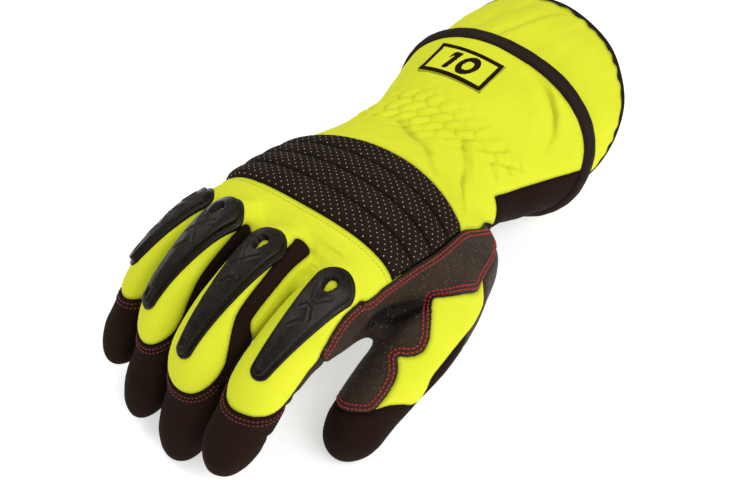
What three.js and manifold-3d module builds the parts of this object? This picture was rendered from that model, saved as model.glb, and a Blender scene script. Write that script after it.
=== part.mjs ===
// Right-hand extrication glove that keeps the form of a half-closed hand.
// Hand frame, millimetres: X to the thumb side, Y to the cuff, Z out of the back of the hand.
// The whole hand frame is turned about X at the end, so that the glove lies on the middle
// fingertip, the thumb tip and the hem, with the surface at Z = 0.
import * as THREE from "three";
import { mergeVertices } from "three/addons/utils/BufferGeometryUtils.js";
import Module from "manifold-3d";

const wasm = await Module();
wasm.setup();

/** Rows of a table as records under the names of its columns. */
const table = (names, rows) =>
  rows.map((row) => Object.fromEntries(row.map((value, column) => [names[column], value])));

// Thicknesses
const WALL = 2;                 // cloth and leather
const SEAM = 0.3;               // gap left between neighbouring pieces
const BAND_PROUD = 1.8;         // padded band above the cloth
const GUARD_FLANGE = 1.5;       // rubber guards: flange and raised middle above the cloth
const GUARD_HEIGHT = 4.4;
const PATCH_THICKNESS = 1.4;

// How the glove lies
const LAY_ANGLE = 10.9;         // degrees between the hand frame and the surface
const LAY_DEPTH = 77.2;         // from the hand frame's origin down to the surface

// Fineness and size of cutting solids
const REACH = 150;
const LIMB_REACH = 34;          // half size of cutting solids on a finger
const SLEEVE = 0.15;            // a finger's cuts stay this close to its surface
const CUFF_SIDES = 24;
const ROLL_SIDES = 6;
const OUTSIDE = { body: 22, finger: 10 };
const INSIDE = { body: 14, finger: 8 };

// Hand and cuff, one row for each section across Y. half is the half width, top and under the
// heights above and below the centre, power the squareness, roll the tilt in degrees that lifts
// the thumb side, lean and yaw the slopes of the section plane towards Z and X.
const SECTION = ["y", "x", "z", "half", "top", "under", "power", "roll", "lean", "yaw"];
const HAND = table(SECTION, [
  [1, 2, -6, 44, 8, 11, 2.2, 8, 0.4, 0],
  [12, 1, -3.5, 56, 20, 20, 2.4, 8, 0.25, 0],
  [23, 1, -4, 58.5, 24, 23.5, 2.4, 8, 0.1, 0],
  [38, 0.5, -5, 60.5, 26.5, 27, 2.3, 7.5, 0, 0],
  [60, 0, -7, 61.5, 28, 29, 2.3, 6.5, 0, 0],
  [82, -1, -9, 59.5, 28, 29, 2.2, 5, 0.03, 0],
  [114, -6.5, -11, 50.5, 28, 27.5, 2.1, 2, 0.1, 0],
  [134, -6.8, -10, 50, 31, 28, 2.1, 1, 0.16, 0.02],
  [154, -6.8, -7, 54.8, 36.5, 33.5, 2.2, 0, 0.23, 0.05],
  [173.6, -7.8, -4, 60.3, 41.3, 40.5, 2.2, 0, 0.28, 0.07],
]);

// Side seams under the back of the hand: heights above the section's centre on the little
// finger's side and on the thumb's. The step is where the thumb saddle ends on the cuff.
const SEAMS = table(["y", "ulnar", "radial"], [
  [12, -1, 0.3],
  [38, -1, 7],
  [82, 0, 12],
  [114, 2, 2],
  [124, 2, -6],
  [125, 2, 10.3],
  [173.6, 2, 3.2],
]);
const BACK_START = 11;          // between the fingers the back begins here
const VALLEY = { beside: 11, front: -4, rear: 18, low: 2 };
const CUFF_START = 125;

// Rolled hem: centre line of the roll, in a plane that leans like the last section
const [HEM] = table(SECTION, [[177.4, -7.9, -3.8, 60.1, 41.1, 41.1, 2.2, 0, 0.28, 0.07]]);
const HEM_RADIUS = 3.3;

// Gauntlet that comes out of the hem, longer on the back than on the palm side
const GAUNTLET = table(SECTION, [
  [171.5, -7.9, -3.8, 55.6, 36.6, 36.6, 2.2, 0, 0.28, 0.07],
  [178.2, -7.9, -3.8, 56.1, 37.1, 37, 2.2, 0, 0.28, 0.07],
  [184, -8.4, -3.2, 58.6, 39.8, 37.2, 2.2, 0, 0.4, 0.03],
  [193, -10, -1.8, 61, 41, 37, 2.2, 0, 0.63, -0.05],
  [206, -10.5, -0.6, 62.3, 38.6, 36.8, 2.2, 0, 0.9, -0.14],
]);
const BINDING = { width: 4.6, thickness: 3.2 };

// Fingers: knuckle point, turns in degrees, bend at each joint, bone lengths, shares of GIRTH in
// width and height, and how much further than STRIP the yellow strip on top runs
const FINGER = ["name", "knuckle", "splay", "roll", "bend", "bones", "width", "height", "stripShift"];
const FINGERS = table(FINGER, [
  ["index", [42.5, 6.6, -2.7], 2.5, 4, [31, 27.5, 0], [45.5, 26.5, 24], 1.01, 1.01, 0.12],
  ["middle", [8.3, 0, 0], -3.5, -3, [38, 41, -14], [51, 28.3, 28.5], 1.12, 1.02, 0],
  ["ring", [-20.8, 3, -2.6], -10.6, -10, [37, 35, -14], [46, 26.3, 27.6], 1.06, 1, 0.03],
  ["little", [-43.9, 9.8, -14.6], -12.4, -12, [28.5, 26.4, 0], [37.4, 21, 22.6], 1, 0.95, 0.12],
]);
const ROOT_LENGTH = 30;         // finger tube that runs back into the hand
const TIP_BEYOND = 5.2;         // cloth beyond the last bone

// Finger girth by joint number: 0 root, 1 knuckle, 2 and 3 finger joints, 4 end
const GIRTH = table(["at", "wide", "top", "under"], [
  [0, 14, 12, 15],
  [1, 15.6, 17.4, 16.5],
  [1.5, 15.6, 15.8, 15.4],
  [2, 15.2, 14.8, 14.6],
  [2.5, 14.6, 14, 14],
  [3, 14, 13.4, 13.4],
  [4, 13.2, 12.8, 13],
]);
const FINGER_STEPS = [0, 0.8, 1.2, 1.6, 2, 2.3, 2.8, 3.2];
const TIP_ANGLES = [0, 40, 70];
const FINGER_GAP = 1;           // left between neighbouring fingers

// Yellow strip on top of a finger: height of its edges above the centre line. The last rows rise
// to close the strip in a round end.
const STRIP = table(["at", "edge"], [
  [0.3, 12.2],
  [1.15, 9.8],
  [2.05, 2.8],
  [2.25, 5.5],
  [2.42, 9.6],
  [2.6, 15],
]);
const STRIP_ENDS_FROM = 2.1;    // only the rows beyond this joint number move by stripShift
const STRIP_HALF = 14;
const INDEX_SIDE_DROP = 9.5;    // the index strip lies lower on its open thumb side
const TIP_FROM = 2.3;
const SIDE_LOW = -8;            // lower edge of the pieces between the fingers
const CROTCH = { inset: 4, front: -24, rear: 17 };

// Thumb: points of its centre line from the wrist to the end, the way its back faces, its girth
const THUMB = {
  points: [[33, 113, -19], [58, 72, -21], [74.5, 37, -22.5], [71.4, 11.8, -48.4], [67, -6, -78.2]],
  facing: [0.826, -0.406, 0.394],
  girth: table(["at", "wide", "top", "under"], [
    [0, 9, 10, 9],
    [0.3, 18, 19, 18.5],
    [1, 21, 20, 21],
    [2, 18.5, 17, 17.5],
    [3, 16.2, 14.8, 15.3],
    [4, 13.8, 13.5, 13.8],
  ]),
  steps: [0, 0.3, 0.7, 1.1, 1.5, 1.9, 2.4, 2.9, 3.4],
};
// Yellow back of the thumb: edges across, towards the leather and towards the outer side
const THUMB_BACK = table(["at", "leather", "outer"], [
  [0.8, -4, 6],
  [1.05, -9, 12],
  [1.72, -15.4, 9.6],
  [2.16, -7, 9.2],
  [2.45, -11.8, 13.4],
  [2.64, -7.5, 14.2],
  [2.8, -5.4, 9.5],
]);
const LEATHER_END = 2.92;       // where the leather on the thumb ends
const THUMB_TIP_FROM = 2.84;
const THUMB_SIDE_LOW = -9;
const END_GAP = 0.01;           // seam gap across the end of a cut, as a joint number

// Leather web between thumb and index finger
const WEB = table(SECTION, [
  [86, 44, -20, 10, 12, 12, 2, 0, 0, 0],
  [66, 56, -19, 16, 15, 14, 2, 0, 0, 0],
  [46, 60, -19, 17, 13, 12, 2, 0, 0, 0],
  [32, 58, -18, 12, 9, 9, 2, 0, 0, 0],
  [18, 53, -12, 9.5, 8, 9, 2, 0, 0, 0],
  [2, 52, -9.5, 9.8, 7, 8, 2, 0, 0, 0],
  [-14, 50.5, -11, 8.6, 6, 6, 2, 0, 0, 0],
]);
// Saddle seen from the thumb side: its outline, and where it begins towards the middle of the hand
const SADDLE_OUTLINE = table(["y", "z"], [
  [-34, -20],
  [20, -27],
  [90, -27],
  [113, -22],
  [123, -17],
  [123, 40],
  [-34, 40],
]);
const SADDLE_FROM = 40;
const SADDLE_ON_THUMB_LOW = -6;
const SADDLE_ON_INDEX = { start: 0.5, end: 1.52, from: 6, to: 30, low: -12 };

// Padded band over the back of the hand: its edges as arcs, y = at + sag * ((x - middle) / half)^2
const BAND_FRONT = { at: 26, sag: 3, middle: 0, half: 55 };
const BAND_BACK = { at: 93, sag: -7, middle: 8, half: 42 };

const PATCH = { x: -24.5, y: 166.4, length: 41, width: 20.5, turn: 2.5 };

// Rubber guard over a knuckle: half width of its drop-shaped outline by joint number
const GUARD = table(["at", "half"], [
  [0.84, 4.5],
  [0.93, 8.8],
  [1.1, 10.6],
  [1.5, 8.4],
  [1.97, 5.2],
  [2.07, 3.4],
]);
const GUARD_INSET = 2.2;        // from the flange's edge to the raised middle
const GUARD_LOW = 3;
const GUARD_HOLE = table(["at", "half"], [
  [1.08, 1.6],
  [1.16, 2.8],
  [1.34, 1.2],
]);
const GUARD_SHIFT = { index: 2, middle: 0, ring: -2, little: -7 };

const FINISHES = {
  cloth: { color: 0xd8e80c, roughness: 0.85, metalness: 0 },
  black: { color: 0x1d1516, roughness: 0.9, metalness: 0 },
  knit: { color: 0x1a1718, roughness: 0.8, metalness: 0 },
  leather: { color: 0x38302a, roughness: 0.7, metalness: 0 },
  rubber: { color: 0x15110f, roughness: 0.35, metalness: 0 },
};

const degrees = THREE.MathUtils.degToRad;
const vector = (list) => new THREE.Vector3(...list);

function solidFrom(geometry) {
  const bare = geometry.clone();
  bare.deleteAttribute("normal");
  bare.deleteAttribute("uv");
  const merged = mergeVertices(bare, 1e-4);
  return new wasm.Manifold(new wasm.Mesh({
    numProp: 3,
    vertProperties: merged.attributes.position.array,
    triVerts: new Uint32Array(merged.index.array),
  }));
}

function geometryFrom(solid) {
  const mesh = solid.getMesh();
  const positions = new THREE.BufferAttribute(new Float32Array(mesh.vertProperties), 3);
  const geometry = new THREE.BufferGeometry();
  geometry.setAttribute("position", positions);
  geometry.setIndex(new THREE.BufferAttribute(new Uint32Array(mesh.triVerts), 1));
  geometry.computeVertexNormals();
  return geometry;
}

/** Solid from points and triangles, turned outside out whichever way its faces were listed. */
function indexedSolid(points, triangles) {
  const volume = triangles.reduce((sum, [a, b, c]) =>
    sum + points[a].dot(new THREE.Vector3().crossVectors(points[b], points[c])), 0);
  const turned = volume < 0 ? triangles.map(([a, b, c]) => [a, c, b]) : triangles;
  const coordinates = points.flatMap((point) => point.toArray());
  const geometry = new THREE.BufferGeometry();
  geometry.setAttribute("position", new THREE.Float32BufferAttribute(coordinates, 3));
  geometry.setIndex(turned.flat());
  return solidFrom(geometry);
}

/** Bands of triangles between rings of equal length, wrapped round each ring. */
function ringBands(rings, closed) {
  const sides = rings[0].length;
  const triangles = [];
  const last = closed ? rings.length : rings.length - 1;
  for (let r = 0; r < last; r++) {
    const next = (r + 1) % rings.length;
    for (let i = 0; i < sides; i++) {
      const j = (i + 1) % sides;
      const [a, b] = [r * sides + i, r * sides + j];
      const [c, d] = [next * sides + i, next * sides + j];
      triangles.push([a, b, d], [a, d, c]);
    }
  }
  return triangles;
}

/** Closed solid through a row of rings, with a cap at each end. */
function loft(rings) {
  const sides = rings[0].length;
  const points = rings.flat();
  const triangles = ringBands(rings, false);
  for (const [ring, first] of [[0, true], [rings.length - 1, false]]) {
    const centre = new THREE.Vector3();
    rings[ring].forEach((point) => centre.addScaledVector(point, 1 / sides));
    const hub = points.push(centre) - 1;
    for (let i = 0; i < sides; i++) {
      const [a, b] = [ring * sides + i, ring * sides + (i + 1) % sides];
      triangles.push(first ? [hub, b, a] : [hub, a, b]);
    }
  }
  return indexedSolid(points, triangles);
}

/** Endless loop of rings, such as the rolled hem. */
const loop = (rings) => indexedSolid(rings.flat(), ringBands(rings, true));

const join = (solids) => solids.reduce((whole, solid) => whole.add(solid));

/** Largest of the separate bodies of a solid. */
const mainBody = (solid) =>
  solid.decompose().reduce((best, body) => (body.volume() > best.volume() ? body : best));

/** Point of a section's closed outline: rounder at power 2, squarer above. */
function ovalPoint(angle, row, grow) {
  const bend = 2 / row.power;
  const [c, s] = [Math.cos(angle), Math.sin(angle)];
  const height = s > 0 ? row.top : row.under;
  return [
    (row.half + grow) * Math.sign(c) * Math.abs(c) ** bend,
    (height + grow) * Math.sign(s) * Math.abs(s) ** bend,
  ];
}

/** Point of the hand frame that lies (across, up) from a section's centre. */
function sectionPoint(row, [across, up]) {
  const roll = degrees(row.roll);
  const x = across * Math.cos(roll) - up * Math.sin(roll);
  const z = across * Math.sin(roll) + up * Math.cos(roll);
  return new THREE.Vector3(row.x + x, row.y + row.lean * z + row.yaw * x, row.z + z);
}

function ovalRing(row, grow, sides) {
  const angles = Array.from({ length: sides }, (_, side) => (side / sides) * 2 * Math.PI);
  return angles.map((angle) => sectionPoint(row, ovalPoint(angle, row, grow)));
}

/** Row at any share of the way between two rows of a table. */
function blendRows(a, b, share) {
  const row = {};
  for (const key of Object.keys(a)) {
    row[key] = a[key] + (b[key] - a[key]) * share;
  }
  return row;
}

function rowAt(rows, key, value) {
  const above = rows.findIndex((row) => row[key] >= value);
  const next = above === -1 ? rows.length - 1 : Math.max(1, above);
  const [a, b] = [rows[next - 1], rows[next]];
  return blendRows(a, b, (value - a[key]) / (b[key] - a[key]));
}

/** Finger as a limb: centre line, girth and the way its back faces. */
function fingerLimb(finger) {
  const turn = new THREE.Matrix4().makeRotationZ(degrees(finger.splay));
  turn.multiply(new THREE.Matrix4().makeRotationY(degrees(finger.roll)));
  const knuckle = vector(finger.knuckle);
  const root = new THREE.Vector3(0, ROOT_LENGTH, 0).applyMatrix4(turn).add(knuckle);
  const points = [root, knuckle];
  let bend = 0;
  finger.bones.forEach((bone, joint) => {
    bend += degrees(finger.bend[joint]);
    const length = joint === finger.bones.length - 1 ? bone + TIP_BEYOND : bone;
    const along = new THREE.Vector3(0, -Math.cos(bend), -Math.sin(bend)).applyMatrix4(turn);
    points.push(points.at(-1).clone().addScaledVector(along, length));
  });
  const girth = GIRTH.map(({ at, wide, top, under }) => ({
    at,
    wide: wide * finger.width,
    top: top * finger.height,
    under: under * finger.height,
  }));
  const facing = new THREE.Vector3(0, 0, 1).applyMatrix4(turn);
  return { ...finger, curve: new THREE.CatmullRomCurve3(points), girth, facing, steps: FINGER_STEPS };
}

/** Centre, along, across and up directions of a limb at a joint number. */
function limbFrame(limb, at) {
  const share = Math.min(at / 4, 1);
  const along = limb.curve.getTangent(share);
  const across = new THREE.Vector3().crossVectors(limb.facing, along).normalize();
  const up = new THREE.Vector3().crossVectors(along, across);
  return { centre: limb.curve.getPoint(share), along, across, up };
}

/** Joint number at which a limb's centre line comes nearest to a point. */
function nearestAt(limb, point) {
  const places = Array.from({ length: 81 }, (_, i) => i / 20);
  const distance = (at) => limb.curve.getPoint(at / 4).distanceTo(point);
  return places.reduce((best, at) => (distance(at) < distance(best) ? at : best));
}

/** Half width of a limb towards the thumb, where the finger beside it keeps its round shape. */
function halfBeside(limb, at, frame, wide) {
  const beside = limbs[limbs.indexOf(limb) - 1];
  if (!beside) return wide;
  const besideAt = nearestAt(beside, frame.centre);
  const apart = beside.curve.getPoint(besideAt / 4).distanceTo(frame.centre);
  return Math.min(wide, apart - rowAt(beside.girth, "at", besideAt).wide - FINGER_GAP);
}

const framePoint = (frame, across, up) =>
  frame.centre.clone().addScaledVector(frame.across, across).addScaledVector(frame.up, up);

function limbRing(limb, at, grow, sides, shrink, forward) {
  const frame = limbFrame(limb, at);
  const girth = rowAt(limb.girth, "at", at);
  const towardsThumb = halfBeside(limb, at, frame, girth.wide);
  frame.centre.addScaledVector(frame.along, forward);
  const angles = Array.from({ length: sides }, (_, side) => (side / sides) * 2 * Math.PI);
  return angles.map((angle) => {
    const height = Math.sin(angle) > 0 ? girth.top : girth.under;
    const half = Math.cos(angle) > 0 ? towardsThumb : girth.wide;
    const across = (half + grow) * Math.cos(angle) * shrink;
    const up = (height + grow) * Math.sin(angle) * shrink;
    return framePoint(frame, across, up);
  });
}

/** Closed limb with a rounded end; grow moves its whole surface out or in. */
function limbSolid(limb, grow, sides) {
  const last = limb.steps.at(-1);
  const reach = limb.curve.getPoint(1).distanceTo(limb.curve.getPoint(last / 4)) + grow;
  const rings = limb.steps.slice(0, -1).map((at) => limbRing(limb, at, grow, sides, 1, 0));
  for (const angle of TIP_ANGLES) {
    const [shrink, forward] = [Math.cos(degrees(angle)), reach * Math.sin(degrees(angle))];
    rings.push(limbRing(limb, last, grow, sides, shrink, forward));
  }
  return loft(rings);
}

/** Cutting block along a limb; each row gives its joint number and its edges across and up. */
const limbBlock = (limb, rows) => loft(rows.map(({ at, from, to, low, high, lowTo = low }) => {
  const frame = limbFrame(limb, at);
  const corners = [[from, low], [to, lowTo], [to, high], [from, high]];
  return corners.map(([across, up]) => framePoint(frame, across, up));
}));

/** Block over one end of a limb, from a joint number on; back moves its face towards the root. */
function limbEndBlock(limb, at, back) {
  const frame = limbFrame(limb, at);
  const corners = [[-1, -1], [1, -1], [1, 1], [-1, 1]];
  const side = (forward) => corners.map(([across, up]) =>
    framePoint(frame, across * LIMB_REACH, up * LIMB_REACH).addScaledVector(frame.along, forward));
  return loft([side(-back), side(2 * LIMB_REACH)]);
}

/** Solid inside which a cut on one limb stays, so that it spares the limb's neighbours. */
const limbSleeve = (limb, grow) => limbSolid(limb, SLEEVE + grow, OUTSIDE.finger);

/** Hand, thumb and cuff as one solid through the given sections, moved out by grow. */
function handThrough(sections, grow, sides) {
  const body = loft(sections.map((row) => ovalRing(row, grow, sides.body)));
  const web = loft(WEB.map((row) => ovalRing(row, grow, sides.finger)));
  const tubes = [...limbs, thumbLimb].map((limb) => limbSolid(limb, grow, sides.finger));
  return join([body, web, ...tubes]);
}

const handSolid = (grow) => handThrough(HAND, grow, OUTSIDE);

/** Room inside the cloth, open through the end of the cuff. */
function handRoom() {
  const begin = { ...HAND[0], y: HAND[0].y + WALL };
  const ending = blendRows(HAND.at(-2), HAND.at(-1), 1.6);
  return handThrough([begin, ...HAND.slice(1), ending], -WALL, INSIDE);
}

/** Block over the back of the hand, above the side seams less grow, between two places along Y. */
function backBlock(from, to, grow) {
  const places = SEAMS.map((row) => row.y).filter((y) => y > from && y < to);
  const sorted = [...new Set([from, ...places, to])].sort((a, b) => a - b);
  return loft(sorted.map((y) => {
    const row = rowAt(HAND, "y", y);
    const seam = rowAt(SEAMS, "y", y);
    const corners = [
      [-REACH, seam.ulnar - grow],
      [REACH, seam.radial - grow],
      [REACH, REACH],
      [-REACH, REACH],
    ];
    return corners.map((corner) => sectionPoint(row, corner));
  }));
}

/** Upright block over an outline seen from above. */
function uprightBlock(outline, low, high) {
  const shape = new THREE.Shape(outline.map(([x, y]) => new THREE.Vector2(x, y)));
  const geometry = new THREE.ExtrudeGeometry(shape, { depth: high - low, bevelEnabled: false, steps: 1 });
  geometry.translate(0, 0, low);
  return solidFrom(geometry);
}

/** Block over an outline (y, z) seen from the thumb side, between two places along X. */
function sideBlock(outline, low, high) {
  const shape = new THREE.Shape(outline.map(([y, z]) => new THREE.Vector2(y, z)));
  const geometry = new THREE.ExtrudeGeometry(shape, { depth: high - low, bevelEnabled: false, steps: 1 });
  const [acrossY, upZ, outX] = [vector([0, 1, 0]), vector([0, 0, 1]), vector([1, 0, 0])];
  geometry.translate(0, 0, low);
  geometry.applyMatrix4(new THREE.Matrix4().makeBasis(acrossY, upZ, outX));
  return solidFrom(geometry);
}

/** Everything above the surface on which the glove lies, or above a level over it. */
function aboveSurface(level) {
  const [slope, drop] = [Math.tan(degrees(LAY_ANGLE)), Math.cos(degrees(LAY_ANGLE))];
  const height = (y) => (level - LAY_DEPTH) / drop + slope * y;
  const ends = [-REACH, 2 * REACH];
  const outline = [
    [ends[0], height(ends[0])],
    [ends[1], height(ends[1])],
    [ends[1], 2 * REACH],
    [ends[0], 2 * REACH],
  ];
  return sideBlock(outline, -REACH, REACH);
}

const limbs = FINGERS.map(fingerLimb);
const [indexLimb, middleLimb, ringLimb, littleLimb] = limbs;
const thumbLimb = {
  ...THUMB,
  curve: new THREE.CatmullRomCurve3(THUMB.points.map(vector)),
  facing: vector(THUMB.facing),
};

// Regions of the cloth. Each takes a grow that widens it, which is how the seam gap is left.

function bandRegion(grow) {
  const samples = Array.from({ length: 9 }, (_, i) => -70 + 17.5 * i);
  const edge = ({ at, sag, middle, half }, x) => at + sag * ((x - middle) / half) ** 2;
  const outline = [
    ...samples.map((x) => [x, edge(BAND_FRONT, x) - grow]),
    ...samples.reverse().map((x) => [x, edge(BAND_BACK, x) + grow]),
  ];
  return uprightBlock(outline, -REACH, REACH).intersect(backBlock(BACK_START, 110, grow));
}

function stripRegion(limb, grow) {
  const drop = limb === indexLimb ? INDEX_SIDE_DROP : 0;
  const block = limbBlock(limb, STRIP.map(({ at, edge }) => {
    const middle = edge - drop / 2 - grow;
    const tilt = (drop / 2) * (LIMB_REACH / STRIP_HALF);
    return {
      at: at > STRIP_ENDS_FROM ? at + limb.stripShift : at,
      from: -LIMB_REACH,
      to: LIMB_REACH,
      low: middle + tilt,
      lowTo: middle - tilt,
      high: LIMB_REACH,
    };
  }));
  return block.intersect(limbSleeve(limb, grow));
}

/** Yellow valley between two knuckles, as far as the strip of the one farther from the thumb. */
function valleyRegion(thumbSide, littleSide, grow) {
  const left = littleSide.knuckle[0] + VALLEY.beside - grow;
  const right = thumbSide.knuckle[0];
  const front = VALLEY.front - grow;
  const outline = [[left, front], [right, front], [right, VALLEY.rear], [left, VALLEY.rear]];
  const low = (littleSide.knuckle[2] + thumbSide.knuckle[2]) / 2 + VALLEY.low - grow;
  return uprightBlock(outline, low, REACH);
}

const backRegion = (grow) => join([
  backBlock(BACK_START - grow, 60, grow),
  ...limbs.map((limb) => stripRegion(limb, grow)),
  ...limbs.slice(1).map((limb, i) => valleyRegion(limbs[i], limb, grow)),
]);

const wristRegion = (grow) =>
  backBlock(60, HAND.at(-1).y + 1, grow).subtract(limbSolid(thumbLimb, 0.5 - grow, OUTSIDE.finger));

/** Joint numbers of a row of cuts, the last one moved on by the seam gap. */
const endLater = (at, last, grow) => (last ? at + END_GAP * (grow / SEAM) : at);

function thumbBackRegion(grow) {
  return limbBlock(thumbLimb, THUMB_BACK.map(({ at, leather, outer }, i) => ({
    at: endLater(at, i === THUMB_BACK.length - 1, grow),
    from: leather - grow,
    to: outer + grow,
    low: 0,
    high: LIMB_REACH,
  })));
}

/** Leather between thumb and index finger, with its flaps on both. */
function saddleRegion(grow) {
  const outline = SADDLE_OUTLINE.map(({ y, z }) => [y + Math.sign(y) * grow, z + Math.sign(z) * grow]);
  const side = sideBlock(outline, SADDLE_FROM - grow, REACH);
  const hand = limbs.reduce((rest, limb) => rest.subtract(limbEndBlock(limb, 1, -grow)), side);
  const { start, end, from, to, low } = SADDLE_ON_INDEX;
  const onIndex = limbBlock(indexLimb, [start, endLater(end, true, grow)].map((at) =>
    ({ at, from, to, low: low - grow, high: LIMB_REACH })));
  const onThumb = limbBlock(thumbLimb, [0.4, endLater(LEATHER_END, true, grow)].map((at) =>
    ({ at, from: -LIMB_REACH, to: 0, low: SADDLE_ON_THUMB_LOW - grow, high: LIMB_REACH })));
  return join([hand, onIndex, onThumb.intersect(limbSleeve(thumbLimb, grow))]);
}

const tipRegion = (limb) => (grow) =>
  limbEndBlock(limb, TIP_FROM, grow).intersect(limbSleeve(limb, grow));

function thumbTipRegion(grow) {
  const rows = [...THUMB_BACK, { ...THUMB_BACK.at(-1), at: 3 }];
  const outerSide = limbBlock(thumbLimb, rows.map(({ at, outer }) =>
    ({ at, from: outer - 3, to: LIMB_REACH, low: THUMB_SIDE_LOW - grow, high: LIMB_REACH })));
  const cap = limbEndBlock(thumbLimb, THUMB_TIP_FROM, grow);
  return outerSide.add(cap).intersect(limbSleeve(thumbLimb, grow));
}

/** Sides of two neighbouring fingers and the crotch between them. */
const fourchetteRegion = (thumbSide, littleSide) => (grow) => {
  const places = [0.5, 1.3, TIP_FROM + 0.1];
  const sideOf = (limb, from, to) => {
    const low = SIDE_LOW - grow;
    const block = limbBlock(limb, places.map((at) => ({ at, from, to, low, high: LIMB_REACH })));
    return block.intersect(limbSleeve(limb, grow));
  };
  const [left, right] = [littleSide.knuckle, thumbSide.knuckle];
  const outline = [
    [left[0] + CROTCH.inset, CROTCH.front],
    [right[0] - CROTCH.inset, CROTCH.front],
    [right[0] - CROTCH.inset, CROTCH.rear],
    [left[0] + CROTCH.inset, CROTCH.rear],
  ];
  const floor = (left[2] + right[2]) / 2 + SIDE_LOW - grow;
  return join([
    sideOf(thumbSide, -LIMB_REACH, 0),
    sideOf(littleSide, 0, LIMB_REACH),
    uprightBlock(outline, floor, REACH),
  ]);
};

const cuffRegion = (grow) => sideBlock([
  [CUFF_START - grow, -REACH],
  [2 * REACH, -REACH],
  [2 * REACH, REACH],
  [CUFF_START - grow, REACH],
], -REACH, REACH);

// Cloth of the whole glove, then piece after piece taken out of what is left of it
const outside = handSolid(0).intersect(aboveSurface(0));
const room = handRoom().intersect(aboveSurface(WALL));
let cloth = outside.subtract(room);

const pieces = [];
function keep(name, solid, finish) {
  pieces.push({ name, solid, finish });
}

/** Takes a region out of the cloth that is left, with a seam gap round it. */
function carve(name, finish, region) {
  keep(name, mainBody(cloth.intersect(region(0))), finish);
  cloth = cloth.subtract(region(SEAM));
}

const padded = handSolid(BAND_PROUD).subtract(room).intersect(bandRegion(0));
keep("knuckle_band", mainBody(padded), FINISHES.knit);
cloth = cloth.subtract(bandRegion(SEAM));
carve("back_panel", FINISHES.cloth, backRegion);
carve("wrist_panel", FINISHES.cloth, wristRegion);
carve("thumb_back", FINISHES.cloth, thumbBackRegion);
carve("thumb_saddle", FINISHES.leather, saddleRegion);
limbs.forEach((limb) => carve(`${limb.name}_tip`, FINISHES.black, tipRegion(limb)));
carve("thumb_tip", FINISHES.black, thumbTipRegion);
carve("fourchette_index_middle", FINISHES.black, fourchetteRegion(indexLimb, middleLimb));
carve("fourchette_middle_ring", FINISHES.black, fourchetteRegion(middleLimb, ringLimb));
carve("fourchette_ring_little", FINISHES.black, fourchetteRegion(ringLimb, littleLimb));
carve("cuff_palm", FINISHES.black, cuffRegion);
keep("palm_panel", mainBody(cloth), FINISHES.leather);

// Rubber guards on the knuckles
const clearOfCloth = handSolid(SEAM);
for (const limb of limbs) {
  const shift = GUARD_SHIFT[limb.name];
  const outline = (rows, inset) => limbBlock(limb, rows.map(({ at, half }) => {
    const edge = Math.max(half - inset, 1);
    return { at, from: shift - edge, to: shift + edge, low: GUARD_LOW, high: LIMB_REACH };
  }));
  const level = (height) => limbSolid(limb, SEAM + height, OUTSIDE.finger);
  const flange = outline(GUARD, 0).intersect(level(GUARD_FLANGE));
  const raised = outline(GUARD.slice(1, -1), GUARD_INSET).intersect(level(GUARD_HEIGHT));
  const guard = flange.add(raised).subtract(clearOfCloth).subtract(outline(GUARD_HOLE, 0));
  keep(`${limb.name}_guard`, mainBody(guard), FINISHES.rubber);
}

// Label patch on the back of the cuff
const patchTurn = new THREE.Matrix4().makeRotationZ(degrees(PATCH.turn));
const patchCorners = [[-1, -1], [1, -1], [1, 1], [-1, 1]].map(([across, along]) => {
  const corner = new THREE.Vector3(across * PATCH.length / 2, along * PATCH.width / 2, 0);
  corner.applyMatrix4(patchTurn);
  return [corner.x + PATCH.x, corner.y + PATCH.y];
});
const patchShell = handSolid(SEAM + PATCH_THICKNESS).subtract(clearOfCloth);
keep("label_patch", mainBody(patchShell.intersect(uprightBlock(patchCorners, 0, REACH))), FINISHES.black);

// Rolled hem, gauntlet and the binding round its rim
const cuffAngles = Array.from({ length: CUFF_SIDES }, (_, side) => (side / CUFF_SIDES) * 2 * Math.PI);
const hemRings = cuffAngles.map((angle) => Array.from({ length: ROLL_SIDES }, (_, side) => {
  const turn = ((side + 0.5) / ROLL_SIDES) * 2 * Math.PI;
  const point = sectionPoint(HEM, ovalPoint(angle, HEM, HEM_RADIUS * Math.cos(turn)));
  point.y += HEM_RADIUS * Math.sin(turn);
  return point;
}));
keep("hem_roll", loop(hemRings).intersect(aboveSurface(0)), FINISHES.black);

const gauntletRings = cuffAngles.map((angle) => [
  ...GAUNTLET.map((row) => sectionPoint(row, ovalPoint(angle, row, 0))),
  ...GAUNTLET.toReversed().map((row) => sectionPoint(row, ovalPoint(angle, row, -WALL))),
]);
keep("gauntlet", loop(gauntletRings), FINISHES.cloth);

const rim = GAUNTLET.at(-1);
const bindingRings = cuffAngles.map((angle) => {
  const half = BINDING.thickness / 2;
  const profile = [
    [-half, SEAM],
    [half, SEAM],
    [half * 0.6, BINDING.width],
    [-half * 0.6, BINDING.width],
  ];
  return profile.map(([outward, beyond]) => {
    const point = sectionPoint(rim, ovalPoint(angle, rim, outward - WALL / 2));
    point.y += beyond;
    return point;
  });
});
keep("rim_binding", loop(bindingRings), FINISHES.black);

// The glove laid on the surface, with the middle of its bounding box over the origin
const lay = new THREE.Matrix4().makeRotationX(-degrees(LAY_ANGLE));
const glove = new THREE.Group();
glove.name = "extrication_glove";
for (const { name, solid, finish } of pieces) {
  const mesh = new THREE.Mesh(geometryFrom(solid), new THREE.MeshStandardMaterial(finish));
  mesh.geometry.applyMatrix4(lay);
  mesh.name = name;
  glove.add(mesh);
}
const bounds = new THREE.Box3().setFromObject(glove);
const middle = bounds.getCenter(new THREE.Vector3());
for (const mesh of glove.children) {
  mesh.geometry.translate(-middle.x, -middle.y, -bounds.min.z);
}

export default glove;
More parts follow.
